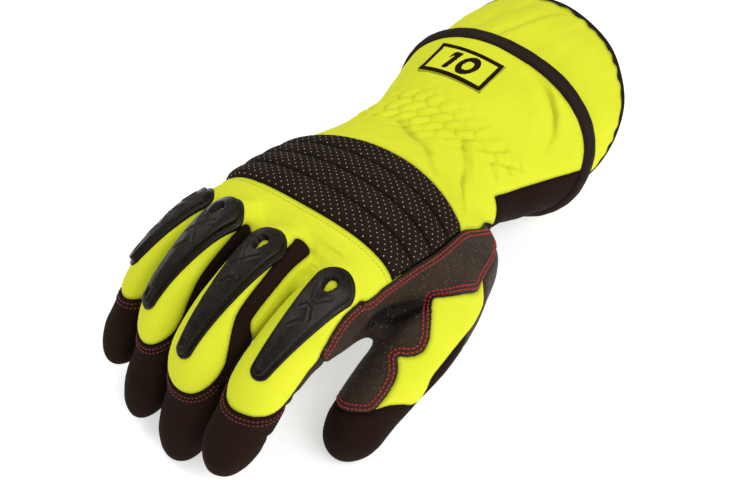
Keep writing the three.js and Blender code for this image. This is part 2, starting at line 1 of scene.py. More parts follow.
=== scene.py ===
"""Right-hand extrication glove, dressed for the render.

The glove is described in its hand frame, in millimetres: X to the thumb side, Y to the cuff, Z out
of the back of the hand. A smooth form of hand, fingers, thumb and web gives one skin, which is cut
into the panels along their seams. Every piece is turned and moved at the end to lie as the frame does.
"""

from __future__ import annotations

import logging
import math
from dataclasses import dataclass, field
from enum import Enum
from typing import Callable, Iterator, Sequence

import bpy
import numpy as np
from mathutils import Matrix, Vector
from mathutils.kdtree import KDTree

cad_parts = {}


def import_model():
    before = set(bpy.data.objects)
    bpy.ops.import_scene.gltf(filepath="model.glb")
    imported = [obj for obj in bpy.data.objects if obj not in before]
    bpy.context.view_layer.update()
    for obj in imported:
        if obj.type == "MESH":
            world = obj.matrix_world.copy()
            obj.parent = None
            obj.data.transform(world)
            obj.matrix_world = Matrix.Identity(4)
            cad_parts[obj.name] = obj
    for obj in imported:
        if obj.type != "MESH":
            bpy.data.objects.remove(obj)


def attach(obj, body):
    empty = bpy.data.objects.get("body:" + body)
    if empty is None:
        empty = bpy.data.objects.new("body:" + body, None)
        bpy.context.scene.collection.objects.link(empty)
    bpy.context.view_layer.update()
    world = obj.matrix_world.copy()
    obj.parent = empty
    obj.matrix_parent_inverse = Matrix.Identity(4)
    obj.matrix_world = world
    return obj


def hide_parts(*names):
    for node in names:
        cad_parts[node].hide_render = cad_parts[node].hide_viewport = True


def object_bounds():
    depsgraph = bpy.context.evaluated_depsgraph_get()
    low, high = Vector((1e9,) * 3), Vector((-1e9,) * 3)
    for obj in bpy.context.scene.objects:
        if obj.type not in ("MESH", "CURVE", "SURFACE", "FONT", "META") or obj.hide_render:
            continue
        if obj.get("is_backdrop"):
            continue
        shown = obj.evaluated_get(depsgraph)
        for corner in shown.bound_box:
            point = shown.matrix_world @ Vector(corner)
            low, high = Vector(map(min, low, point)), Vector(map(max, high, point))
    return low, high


LOG = logging.getLogger("glove")
Array = np.ndarray
Table = Sequence[Sequence[float]]
Piece, Material = bpy.types.Object, bpy.types.Material
Node, NodeTree, Socket = bpy.types.Node, bpy.types.NodeTree, bpy.types.NodeSocket

MM = 0.001
LAY_ANGLE = math.radians(10.9)  # between the hand frame and the surface
LAY_COS, LAY_SIN = math.cos(LAY_ANGLE), math.sin(LAY_ANGLE)
LAY_SHIFT = (-8.5286, -85.8538, 77.2)  # from the turned hand frame to the row frame, mm
WALL = 1.7  # thickness of the cloth, mm
FLOOR_CLEARANCE = 0.05  # mm
GRID_STEP = 1.15  # spacing of the points on the skin, mm
FAR = 30.0  # distance given to points well away from a shape, mm
TINY = 1e-9


def smooth_step(low: float, high: float, value: Array) -> Array:
    """Share from 0 at low to 1 at high, level at both ends."""
    share = np.clip((value - low) / (high - low), 0.0, 1.0)
    return share * share * (3.0 - 2.0 * share)


def table_curve(rows: Table, place: Array, column: int = 1) -> Array:
    """Value of one column of a table on a smooth curve through its rows.

    Args:
        rows: Table whose first column rises from row to row.
        place: Places along the first column.
        column: Column to read.

    Returns:
        The value at each place, held level beyond the ends.
    """
    keys, values = np.array(rows, float).T[[0, column]]
    gaps = np.diff(keys)
    rises = np.diff(values) / gaps
    slopes = np.concatenate([rises[:1], np.zeros(len(keys) - 2), rises[-1:]])
    mean = (rises[:-1] * gaps[1:] + rises[1:] * gaps[:-1]) / (gaps[:-1] + gaps[1:])
    slopes[1:-1] = np.where(rises[:-1] * rises[1:] <= 0, 0.0, mean)
    inside = np.clip(place, keys[0], keys[-1])
    cell = np.clip(np.searchsorted(keys, inside, side="right") - 1, 0, len(gaps) - 1)
    share = (inside - keys[cell]) / gaps[cell]
    square, cube = share**2, share**3
    start, end = 2 * cube - 3 * square + 1, 3 * square - 2 * cube
    leave, arrive = (cube - 2 * square + share) * gaps[cell], (cube - square) * gaps[cell]
    return start * values[cell] + leave * slopes[cell] + end * values[cell + 1] + arrive * slopes[cell + 1]


def smooth_union(first: Array, second: Array, radius: float) -> Array:
    """Distance to two shapes joined with a fillet of about the given radius."""
    share = np.clip(0.5 + 0.5 * (second - first) / radius, 0.0, 1.0)
    return second + (first - second) * share - radius * share * (1.0 - share)


def bell(value: Array, width: float) -> Array:
    """Hump of height 1 where the value is 0."""
    return np.exp(-((value / width) ** 2))


def beside_line(points: Array, start: Array, end: Array) -> tuple[Array, Array]:
    """Distance of points from the line between two others, and how far along it they are."""
    way = end - start
    share = np.clip(((points - start) @ way) / (way @ way), 0.0, 1.0)
    return np.linalg.norm(points - start - share[:, None] * way, axis=1), share


def normalised(vectors: Array) -> Array:
    """Vectors along the last axis, each of length one."""
    return vectors / np.maximum(np.linalg.norm(vectors, axis=-1, keepdims=True), TINY)


def hash_noise(points: Array, seed: int) -> Array:
    """Smooth noise from -1 to 1 at points on a lattice of spacing one, its pattern picked by a seed."""
    base = np.floor(points).astype(np.int64)
    share = points - base
    share = share * share * (3.0 - 2.0 * share)
    total = np.zeros(len(points))
    for corner in np.ndindex(2, 2, 2):
        lattice = base + np.array(corner)
        mixed = lattice @ np.array([73856093, 19349663, 83492791]) + seed * 2654435761
        mixed = (mixed ^ (mixed >> 13)) * 1274126177 & 0x7FFFFFFF
        value = (mixed % 20011) / 10005.0 - 1.0
        weight = np.prod(np.where(np.array(corner) == 1, share, 1.0 - share), axis=1)
        total += value * weight
    return total


# Sections across Y. Roll, in degrees, lifts the thumb side; lean and yaw are the slopes of the section
# plane towards Z and towards X.
SECTION_COLUMNS = ("y", "x", "z", "half", "top", "under", "power", "roll", "lean", "yaw")
HAND_ROWS: Table = (
    (1, 2, -6, 44, 8, 11, 2.2, 8, 0.4, 0),
    (12, 1, -3.5, 56, 20, 20, 2.4, 8, 0.25, 0),
    (23, 1, -4, 58.5, 24, 23.5, 2.4, 8, 0.1, 0),
    (38, 0.5, -5, 60.5, 26.5, 27, 2.3, 7.5, 0, 0),
    (60, 0, -7, 61.5, 28, 29, 2.3, 6.5, 0, 0),
    (82, -1, -9, 59.5, 28, 29, 2.2, 5, 0.03, 0),
    (114, -6.5, -11, 50.5, 28, 27.5, 2.1, 2, 0.1, 0),
    (134, -6.8, -10, 50, 31, 28, 2.1, 1, 0.16, 0.02),
    (154, -6.8, -7, 54.8, 36.5, 33.5, 2.2, 0, 0.23, 0.05),
    (173.6, -7.8, -4, 60.3, 41.3, 40.5, 2.2, 0, 0.28, 0.07),
    (190, -8.6, -1.5, 64.5, 45.3, 45.5, 2.2, 0, 0.32, 0.09),
)
WEB_ROWS: Table = (
    (-14, 50.5, -11, 8.6, 6, 6, 2, 0, 0, 0),
    (2, 52, -9.5, 9.8, 7, 8, 2, 0, 0, 0),
    (18, 53, -12, 9.5, 8, 9, 2, 0, 0, 0),
    (32, 58, -18, 12, 9, 9, 2, 0, 0, 0),
    (46, 60, -19, 17, 13, 12, 2, 0, 0, 0),
    (66, 56, -19, 16, 15, 14, 2, 0, 0, 0),
    (86, 44, -20, 10, 12, 12, 2, 0, 0, 0),
)


@dataclass
class SectionForm:
    """Closed form through a row of oval sections across Y."""

    rows: Table  # sections in rising order of y
    cap: float  # length of the rounded end before the first section, mm
    far_cap: float = 0.0  # length of the rounded end after the last one, or 0 where the form runs on

    def __post_init__(self) -> None:
        """Samples the table finely, so that it is quick to read."""
        self.places = np.arange(self.rows[0][0], self.rows[-1][0] + 0.5, 0.5)
        numbered = tuple(enumerate(SECTION_COLUMNS))[1:]
        self.columns = {name: table_curve(self.rows, self.places, number) for number, name in numbered}

    def read(self, place: Array, *names: str) -> list[Array]:
        """Columns of the section table at places along y."""
        return [np.interp(place, self.places, self.columns[name]) for name in names]

    def coordinates(self, points: Array) -> tuple[Array, Array, Array]:
        """Section place, distance across and distance up of points."""
        place = points[:, 1].copy()
        for _ in range(5):
            x, z, lean, yaw = self.read(place, "x", "z", "lean", "yaw")
            place = points[:, 1] - lean * (points[:, 2] - z) - yaw * (points[:, 0] - x)
        x, z, roll = self.read(place, "x", "z", "roll")
        along_x, along_z, roll = points[:, 0] - x, points[:, 2] - z, np.radians(roll)
        across = along_x * np.cos(roll) + along_z * np.sin(roll)
        return place, across, along_z * np.cos(roll) - along_x * np.sin(roll)

    def distance(self, points: Array) -> Array:
        """Signed distance, negative inside, good near the surface."""
        place, across, up = self.coordinates(points)
        half, top, under, power = self.read(place, "half", "top", "under", "power")
        oval = np.abs(across / half) ** power + np.abs(up / np.where(up > 0, top, under)) ** power
        before = np.maximum(self.rows[0][0] - points[:, 1], 0.0)
        after = np.maximum(points[:, 1] - self.rows[-1][0], 0.0) * (self.far_cap > 0)
        beyond = before / self.cap + after / (self.far_cap or 1.0)
        ratio = np.sqrt((oval ** (1.0 / power)) ** 2 + beyond**2)
        return np.sqrt(across**2 + up**2 + before**2 + after**2) * (1.0 - 1.0 / np.maximum(ratio, 1e-4))

    def point(self, place: float, angle: float, grow: float) -> Array:
        """Point of the outline of the section at a place, moved out by grow."""
        values = map(float, self.read(place, *SECTION_COLUMNS[1:]))
        x, z, half, top, under, power, roll, lean, yaw = values
        cosine, sine, turn = math.cos(angle), math.sin(angle), math.radians(roll)
        across = (half + grow) * math.copysign(abs(cosine) ** (2 / power), cosine)
        up = ((top if sine > 0 else under) + grow) * math.copysign(abs(sine) ** (2 / power), sine)
        along_x = across * math.cos(turn) - up * math.sin(turn)
        along_z = across * math.sin(turn) + up * math.cos(turn)
        return np.array([x + along_x, place + lean * along_z + yaw * along_x, z + along_z])


def smooth_line(points: Array, number: Array) -> Array:
    """Points of a smooth line through the given ones, at numbers where 0 is the first of them."""
    points = np.vstack([2 * points[0] - points[1], points, 2 * points[-1] - points[-2]])
    cell = np.clip(np.floor(number).astype(int), 0, len(points) - 4)
    share = (number - cell)[:, None]
    before, start, end, after = (points[cell + k] for k in range(4))
    ways = (start - before, end - start, after - end)
    first, gap, last = (np.sqrt(np.linalg.norm(way, axis=1))[:, None] for way in ways)
    leave = (start - before) / first - (end - before) / (first + gap) + (end - start) / gap
    arrive = (end - start) / gap - (after - start) / (gap + last) + (after - end) / last
    leave, arrive = leave * gap, arrive * gap
    square, cube = share**2, share**3
    curved = (3 * (end - start) - 2 * leave - arrive) * square
    return start + leave * share + curved + (2 * (start - end) + leave + arrive) * cube


# Girth of a finger by joint number: half width, height above and below its centre line
FINGER_GIRTH: Table = (
    (0, 14, 12, 15),
    (1, 15.6, 17.4, 16.5),
    (1.5, 15.6, 15.8, 15.4),
    (2, 15.2, 14.8, 14.6),
    (2.5, 14.6, 14, 14),
    (3, 14, 13.4, 13.4),
    (4, 13.2, 12.8, 13),
)
THUMB_GIRTH: Table = (
    (0, 9, 10, 9),
    (0.3, 18, 19, 18.5),
    (1, 21, 20, 21),
    (2, 18.5, 17, 17.5),
    (3, 16.2, 14.8, 15.3),
    (4, 13.8, 13.5, 13.8),
)
THUMB_POINTS = ((33, 113, -19), (58, 72, -21), (74.5, 37, -22.5), (71.4, 11.8, -48.4), (67, -6, -78.2))
THUMB_FACING = (0.826, -0.406, 0.394)
STATIONS = 150
ROOT_LENGTH = 30.0  # finger tube that runs back into the hand
TIP_BEYOND = 5.2  # cloth beyond the last bone
FINGER_GAP = 1.0
LAST_JOINT = 4.0
FINGER_CAP, THUMB_CAP = 3.2, 3.4  # joint numbers where the rounded ends begin


@dataclass
class Limb:
    """Finger or thumb: a bent tube with a rounded end."""

    name: str
    points: Array  # points of the centre line, one for each joint number
    facing: Array  # the way the back of the limb faces
    girth: Table  # half width and heights by joint number
    cap_from: float  # joint number at which the rounded end begins
    width: float = 1.0  # share of the table's width
    height: float = 1.0  # share of the table's heights
    beside: "Limb | None" = None  # limb on the thumb side, which keeps its round shape where they touch
    MARGIN: float = 36.0  # mm round the centre line in which distances are worked out
    CHUNK: int = 20000  # points handled at a time

    def __post_init__(self) -> None:
        """Samples the centre line, its directions and its girth."""
        at, step = np.linspace(0.0, self.cap_from, STATIONS), 1e-3
        self.centre, ahead, behind, last = (
            smooth_line(self.points, number)
            for number in (at, at + step, np.maximum(at - step, 0.0), np.array([LAST_JOINT]))
        )
        self.along = normalised(ahead - behind)
        self.across = normalised(np.cross(self.facing, self.along))
        self.up = np.cross(self.along, self.across)
        wide, top, under = (table_curve(self.girth, at, number) for number in (1, 2, 3))
        wide, top, under = wide * self.width, top * self.height, under * self.height
        inner = wide
        if self.beside is not None:
            apart = np.linalg.norm(self.centre[:, None] - self.beside.centre[None], axis=2)
            room = apart.min(axis=1) - self.beside.sizes[apart.argmin(axis=1), 1] - FINGER_GAP
            inner = np.minimum(wide, room)
        self.sizes = np.stack([inner, wide, top, under], axis=1)
        self.cap = float(np.linalg.norm(last[0] - self.centre[-1]))

    def coordinates(self, points: Array) -> tuple[Array, Array, Array, Array, Array]:
        """Joint number, distances across, up and beyond the last station, and station numbers."""
        nearest = np.empty(len(points), int)
        for start in range(0, len(points), self.CHUNK):
            part = points[start : start + self.CHUNK]
            apart = ((part[:, None, :] - self.centre[None]) ** 2).sum(axis=2)
            nearest[start : start + self.CHUNK] = apart.argmin(axis=1)
        forward = ((points - self.centre[nearest]) * self.along[nearest]).sum(axis=1)
        gap = np.linalg.norm(np.gradient(self.centre, axis=0), axis=1)[nearest]
        number = nearest + forward / gap
        inside = np.clip(number, 0, STATIONS - 1)
        cell = np.clip(inside.astype(int), 0, STATIONS - 2)
        share = (inside - cell)[:, None]
        centre, across, up = (
            rows[cell] * (1 - share) + rows[cell + 1] * share for rows in (self.centre, self.across, self.up)
        )
        offset = points - centre
        ahead = np.where(number > STATIONS - 1, (offset * self.along[-1]).sum(axis=1), 0.0)
        behind = np.where(number < 0, (offset * self.along[0]).sum(axis=1), 0.0)
        at = inside * (self.cap_from / (STATIONS - 1)) + ahead / self.cap * (LAST_JOINT - self.cap_from)
        beyond = np.where(ahead > 0, ahead, behind)
        return at, (offset * across).sum(axis=1), (offset * up).sum(axis=1), beyond, inside

    def read(self, station: Array, values: Array) -> list[Array]:
        """Columns of values that the stations have, at broken station numbers."""
        return [np.interp(station, np.arange(STATIONS), column) for column in values.T]

    def distance(self, points: Array) -> Array:
        """Signed distance to the limb, FAR where the point is well away from it."""
        result = np.full(len(points), FAR)
        low, high = self.centre.min(axis=0) - self.MARGIN, self.centre.max(axis=0) + self.MARGIN
        near = ((points > low) & (points < high)).all(axis=1)
        if not near.any():
            return result
        _, across, up, beyond, station = self.coordinates(points[near])
        inner, outer, top, under = self.read(station, self.sizes)
        half, height = np.where(across > 0, inner, outer), np.where(up > 0, top, under)
        reach = np.where(beyond > 0, self.cap, 8.0)
        ratio = np.sqrt((across / half) ** 2 + (up / height) ** 2 + (beyond / reach) ** 2)
        size = np.sqrt(across**2 + up**2 + beyond**2)
        result[near] = size * (1.0 - 1.0 / np.maximum(ratio, 1e-4))
        return result

    def point(self, at: float, across: float) -> Array:
        """Point of the limb's back at a joint number and a distance across."""
        number = at / self.cap_from * (STATIONS - 1)
        inner, outer, top, _ = self.read(number, self.sizes)
        up = top * math.sqrt(max(1.0 - (across / (inner if across > 0 else outer)) ** 2, 0.0))
        axes = (self.centre, self.across, self.up)
        centre, sideways, upwards = (np.array(self.read(number, rows)) for rows in axes)
        return centre + across * sideways + up * upwards


@dataclass(frozen=True)
class FingerSize:
    """One finger: knuckle, turns in degrees, bend at each joint, bones, and shares of the girth."""

    name: str
    knuckle: tuple[float, float, float]
    splay: float
    roll: float
    bend: tuple[float, float, float]
    bones: tuple[float, float, float]
    width: float
    height: float
    guard_shift: float  # place of the guard's middle across the finger, mm


FINGERS = (
    FingerSize("index", (42.5, 6.6, -2.7), 2.5, 4, (31, 27.5, 0), (45.5, 26.5, 24), 1.01, 1.01, 2),
    FingerSize("middle", (8.3, 0, 0), -3.5, -3, (38, 41, -14), (51, 28.3, 28.5), 1.12, 1.02, 0),
    FingerSize("ring", (-20.8, 3, -2.6), -10.6, -10, (37, 35, -14), (46, 26.3, 27.6), 1.06, 1, -2),
    FingerSize("little", (-43.9, 9.8, -14.6), -12.4, -12, (28.5, 26.4, 0), (37.4, 21, 22.6), 1, 0.95, -7),
)


def turned(finger: FingerSize, vector: Sequence[float]) -> Array:
    """A vector of the finger's own frame in the hand frame."""
    splay, roll = math.radians(finger.splay), math.radians(finger.roll)
    return np.array(Matrix.Rotation(splay, 3, "Z") @ Matrix.Rotation(roll, 3, "Y") @ Vector(vector))


def finger_limb(finger: FingerSize, beside: Limb | None) -> Limb:
    """Limb of one finger, given the finger on its thumb side."""
    knuckle = np.array(finger.knuckle, float)
    points = [knuckle + turned(finger, (0, ROOT_LENGTH, 0)), knuckle]
    bend = 0.0
    for turn, bone, more in zip(finger.bend, finger.bones, (0.0, 0.0, TIP_BEYOND)):
        bend += math.radians(turn)
        points.append(points[-1] + (bone + more) * turned(finger, (0, -math.cos(bend), -math.sin(bend))))
    facing = turned(finger, (0, 0, 1))
    size = (finger.width, finger.height)
    return Limb(finger.name, np.array(points), facing, FINGER_GIRTH, FINGER_CAP, *size, beside)


class GloveForm:
    """Smooth form of the whole hand: body, web, fingers and thumb joined with fillets."""

    BODY_FILLET = 5.0  # mm, as the others
    THUMB_FILLET = 9.0
    WEB_FILLET = 8.0
    FINGER_FILLET = 0.8

    def __init__(self) -> None:
        """Builds the body, the web and the limbs."""
        self.body = SectionForm(HAND_ROWS, cap=5.0)
        self.web = SectionForm(WEB_ROWS, cap=6.0, far_cap=10.0)
        self.fingers: list[Limb] = []
        for finger in FINGERS:
            self.fingers.append(finger_limb(finger, self.fingers[-1] if self.fingers else None))
        thumb = np.array(THUMB_POINTS, float)
        self.thumb = Limb("thumb", thumb, np.array(THUMB_FACING), THUMB_GIRTH, THUMB_CAP)

    def parts(self, points: Array) -> dict[str, Array]:
        """Distances to the body, the web and each limb."""
        distances = {"body": self.body.distance(points)}
        box = (np.abs(points[:, 0] - 52) < 45) & (points[:, 1] > -45) & (points[:, 1] < 125)
        web = np.full(len(points), FAR)
        if box.any():
            web[box] = self.web.distance(points[box])
        distances["web"] = web
        for limb in (*self.fingers, self.thumb):
            distances[limb.name] = limb.distance(points)
        return distances

    def joined(self, parts: dict[str, Array]) -> Array:
        """One distance from the distances to the parts."""
        fingers = parts[FINGERS[0].name]
        for finger in FINGERS[1:]:
            fingers = smooth_union(fingers, parts[finger.name], self.FINGER_FILLET)
        whole = smooth_union(parts["body"], fingers, self.BODY_FILLET)
        thumb = smooth_union(parts["web"], parts["thumb"], self.WEB_FILLET)
        return smooth_union(whole, thumb, self.THUMB_FILLET)

    def floor(self, points: Array) -> Array:
        """Height of points above the surface that the glove lies on."""
        return points[:, 2] * LAY_COS - points[:, 1] * LAY_SIN + LAY_SHIFT[2]

    def distance(self, points: Array) -> Array:
        """Signed distance to the glove, pressed flat on the surface."""
        return np.maximum(self.joined(self.parts(points)), FLOOR_CLEARANCE - self.floor(points))

    def normal(self, points: Array) -> Array:
        """Outward direction at points near the surface."""
        step = 0.35
        shifts = np.array([[1, -1, -1], [-1, -1, 1], [-1, 1, -1], [1, 1, 1]], float)
        return normalised(sum(shift * self.distance(points + shift * step)[:, None] for shift in shifts))

    def settle(self, points: Array) -> Array:
        """Points moved on to the surface."""
        for _ in range(3):
            normal = self.normal(points)
            points = points - normal * np.clip(self.distance(points), -3.0, 3.0)[:, None]
        return points


FINGER_NAMES = tuple(finger.name for finger in FINGERS)


def surface_nets(values: Array, origin: Array, step: float) -> tuple[Array, Array]:
    """Surface where a grid of distances changes sign.

    Args:
        values: Signed distances on the grid.
        origin: Place of the first grid point.
        step: Grid spacing.

    Returns:
        Points and triangles, turned outwards.
    """
    inside = values < 0
    corners = [np.array(corner) for corner in np.ndindex(2, 2, 2)]
    windows = np.lib.stride_tricks.sliding_window_view(inside, (2, 2, 2))
    count = windows.sum(axis=(3, 4, 5), dtype=np.int8)
    mixed = (count > 0) & (count < 8)
    number = np.full(mixed.shape, -1, np.int64)
    number[mixed] = np.arange(int(mixed.sum()))
    cells = np.argwhere(mixed)
    total = np.zeros((len(cells), 3))
    crossings = np.zeros(len(cells))
    for start in corners:
        for axis in range(3):
            if start[axis]:
                continue
            end = start.copy()
            end[axis] = 1
            first = values[tuple((cells + start).T)]
            second = values[tuple((cells + end).T)]
            crossed = (first < 0) != (second < 0)
            share = np.where(crossed, first / np.where(crossed, first - second, 1.0), 0.0)
            total += crossed[:, None] * (start + share[:, None] * (end - start))
            crossings += crossed
    points = origin + step * (cells + total / crossings[:, None])
    faces = []
    for axis in range(3):
        others = [k for k in range(3) if k != axis]
        low, high = [slice(1, -1)] * 3, [slice(1, -1)] * 3
        low[axis], high[axis] = slice(0, -1), slice(1, None)
        at = np.argwhere(inside[tuple(low)] != inside[tuple(high)])
        at[:, others] += 1
        around = []
        for shift in ((-1, -1), (0, -1), (0, 0), (-1, 0)):
            cell = at.copy()
            cell[:, others] += shift
            around.append(number[tuple(cell.T)])
        quad = np.stack(around, axis=1)
        inward = inside[tuple(at.T)] == (axis == 1)
        quad[inward] = quad[inward][:, ::-1]
        faces.append(quad)
    quad = np.vstack(faces)
    one, two = (np.linalg.norm(points[quad[:, k]] - points[quad[:, k + 2]], axis=1) for k in (0, 1))
    short = (one <= two)[:, None]
    first = np.where(short, quad[:, [0, 1, 2]], quad[:, [0, 1, 3]])
    second = np.where(short, quad[:, [0, 2, 3]], quad[:, [1, 2, 3]])
    return points, np.vstack([first, second])


def point_normals(points: Array, triangles: Array) -> Array:
    """Normal at each point, from the triangles round it."""
    sides = points[triangles]
    faces = np.cross(sides[:, 1] - sides[:, 0], sides[:, 2] - sides[:, 0])
    total = np.zeros_like(points)
    for corner in range(3):
        for axis in range(3):
            total[:, axis] += np.bincount(triangles[:, corner], faces[:, axis], len(points))
    return normalised(total)


class Skin:
    """Surface of the form with the columns of values that its seams are drawn in."""

    BOX = ((-72.0, -84.0, -92.0), (92.0, 186.0, 46.0))
    COARSE = 4  # grid points in a block of the rough search
    SEARCH = 1.25  # distance from the surface within which a block is searched, in blocks
    SNAP = 0.12  # share of a side within which a cut goes through its end

    def __init__(self, form: GloveForm) -> None:
        """Draws the surface of the form on a grid and reads its values."""
        self.points, self.triangles = self.drawn(form)
        columns = self.read(form)
        self.numbers = {name: number for number, name in enumerate(columns)}
        self.values = np.column_stack(list(columns.values()))

    def __getitem__(self, name: str) -> Array:
        """A column of values at the points."""
        return self.values[:, self.numbers[name]]

    def drawn(self, form: GloveForm) -> tuple[Array, Array]:
        """Points and triangles of the form's surface."""
        low, high = (np.array(corner) for corner in self.BOX)
        blocks = np.ceil((high - low) / (GRID_STEP * self.COARSE)).astype(int)
        block = np.argwhere(np.ones(blocks, bool))
        size = GRID_STEP * self.COARSE
        rough = form.distance(low + (block + 0.5 - 0.5 / self.COARSE) * size)
        grid = rough.reshape(blocks)
        for axis in range(3):
            grid = np.repeat(grid, self.COARSE, axis)
        near = block[np.abs(rough) < size * self.SEARCH]
        inner = np.argwhere(np.ones([self.COARSE] * 3, bool))
        fine = (near[:, None, :] * self.COARSE + inner[None]).reshape(-1, 3)
        grid[tuple(fine.T)] = form.distance(low + fine * GRID_STEP)
        points, triangles = surface_nets(grid, low, GRID_STEP)
        for _ in range(2):
            miss = np.clip(form.distance(points), -1.0, 1.0)
            points = points - point_normals(points, triangles) * miss[:, None]
        return points, triangles

    def read(self, form: GloveForm) -> dict[str, Array]:
        """The coordinates and distances that the seams need, by name."""
        columns = dict(zip(("hand at", "hand across", "hand up"), form.body.coordinates(self.points)))
        columns |= dict(zip("xyz", self.points.T))
        columns |= {f"{name} distance": column for name, column in form.parts(self.points).items()}
        for limb in (*form.fingers, form.thumb):
            for kind, column in zip(("at", "across", "up"), limb.coordinates(self.points)):
                columns[f"{limb.name} {kind}"] = column
        return columns

    def cut(self, level: Array) -> None:
        """Splits the triangles along the line where a value at the points is 0."""
        first, second = self.triangles.ravel(), self.triangles[:, [1, 2, 0]].ravel()
        for _ in range(2):
            crossed = level[first] * level[second] < 0
            start, end = first[crossed], second[crossed]
            share = level[start] / (level[start] - level[end])
            level[start[share < self.SNAP]] = 0.0
            level[end[share > 1 - self.SNAP]] = 0.0
        sign = np.sign(level).astype(int)[self.triangles]
        opposite = [(sign[:, k] * sign[:, (k + 1) % 3]) < 0 for k in range(3)]
        crossings = sum(side.astype(int) for side in opposite)
        base = len(self.points)

        def keys(a: Array, b: Array) -> Array:
            """One number for each side between two points."""
            return np.minimum(a, b) * np.int64(base) + np.maximum(a, b)

        cut_keys = np.unique(keys(first, second)[level[first] * level[second] < 0])
        start, end = cut_keys // base, cut_keys % base
        share = (level[start] / (level[start] - level[end]))[:, None]
        self.points, self.values = (
            np.vstack([rows, rows[start] * (1 - share) + rows[end] * share])
            for rows in (self.points, self.values)
        )

        def middle(a: Array, b: Array) -> Array:
            """Numbers of the new points on sides."""
            return base + np.searchsorted(cut_keys, keys(a, b))

        pieces = [self.triangles[crossings == 0]]
        for k in range(3):
            turn = [(k + n) % 3 for n in range(3)]
            a, b, c = self.triangles[(crossings == 2) & ~opposite[(k + 1) % 3]][:, turn].T
            ab, ac = middle(a, b), middle(a, c)
            pieces += [np.stack(t, axis=1) for t in ((a, ab, ac), (ab, b, c), (ab, c, ac))]
            a, b, c = self.triangles[(crossings == 1) & opposite[(k + 1) % 3]][:, turn].T
            bc = middle(b, c)
            pieces += [np.stack(t, axis=1) for t in ((a, b, bc), (a, bc, c))]
        self.triangles = np.vstack(pieces)

    def panel(self, chosen: Array) -> tuple[Array, Array, Array]:
        """Numbers of the points of the chosen triangles, those triangles and their open edges."""
        used, inverse = np.unique(self.triangles[chosen], return_inverse=True)
        triangles = inverse.reshape(-1, 3)
        return used, triangles, open_edges(triangles)


def open_edges(triangles: Array) -> Array:
    """Edges that only one triangle has, in that triangle's direction."""
    edges = triangles[:, [0, 1, 1, 2, 2, 0]].reshape(-1, 2)
    keys = edges.min(axis=1) * np.int64(10_000_000) + edges.max(axis=1)
    _, first, count = np.unique(keys, return_index=True, return_counts=True)
    return edges[first[count == 1]]


# Upper edge of the leather and the palm on the hand, and of the cuff's palm side: height in the sections
# by place, on the thumb side and on the little finger's side
HAND_SEAM: tuple[Table, Table] = (
    ((0, 0), (12, 0.3), (23, 3.5), (38, 7), (60, 10), (82, 12), (98, 8), (114, 2), (124, -6)),
    ((0, -1), (124, -1)),
)
CUFF_SEAM: tuple[Table, Table] = (
    ((125, 10.3), (134, 8.5), (154, 6.8), (173.6, 3.2)),
    ((125, 2), (173.6, 2)),
)
CUFF_START = 125.0
SKIN_END = 174.6  # place in the hand's sections where the cuff's cloth turns into the hem
# Edge of the yellow strip on a finger: height above its centre line by joint number
STRIP_EDGE: Table = (
    (0.3, 12.2), (0.73, 11.6), (1, 10.7), (1.22, 9.2), (1.39, 8.4), (1.59, 7.2), (1.82, 4.6), (2, 2.8),
    (2.15, 3.6), (2.3, 6.2), (2.42, 9.4), (2.52, 12.4), (2.6, 16),
)
# The same edge on the open thumb side of the index finger
INDEX_EDGE: Table = (
    (0.37, 14), (0.65, 10.7), (0.87, 8.5), (1.04, 8.8), (1.21, 8), (1.34, 7.1), (1.46, 5.9), (1.55, 2.6),
    (1.7, 0), (2, -1.5), (2.2, -0.5), (2.3, 1), (2.42, 5), (2.52, 10), (2.62, 16),
)
STRIP_SHIFTS = {"index": 0.12, "middle": 0.0, "ring": 0.03, "little": 0.12}
STRIP_SHIFTED_FROM = 2.1
INDEX_EDGE_SHIFT = 0.06
# How far the yellow reaches down between index and middle finger, mm, and on which side of each
STRIP_SPREAD = {"index": (9.0, -1.0), "middle": (-4.2, 1.0)}
MIDDLE_STRIP = 6.4  # width of the dark strip on that side of the middle finger, mm
# Front of the yellow between two fingers: y by x
BACK_FRONT: Table = ((-60, 14), (-42.1, 11.8), (-12.6, 4), (17.6, 10.6), (60, 12))
SIDE_LOW = -8.0  # lower edge of the pieces between the fingers
TIP_FROM = 2.3  # joint number
# Thumb: edges across by joint number
LEATHER_EDGE: Table = (
    (0, 6), (0.2, 6), (0.6, 5), (0.9, 2.6), (1.19, 0), (1.43, -6.9), (1.57, -10.8), (1.65, -13.6),
    (1.7, -15.5), (1.8, -14.1), (1.95, -9.4), (2.06, -5.9), (2.15, -4.9), (2.25, -7.6), (2.34, -11.8),
    (2.4, -9.7), (2.52, -6.4), (2.64, -5.2), (2.78, -4.4), (3.2, -4.4),
)
OUTER_EDGE: Table = (
    (0.92, 2), (1.02, 8), (1.15, 11.5), (1.44, 11.3), (1.72, 9.6), (1.96, 8.9), (2.14, 8.6), (2.3, 9.2),
    (2.47, 13.7), (2.64, 14.8), (2.77, 10.3),
)
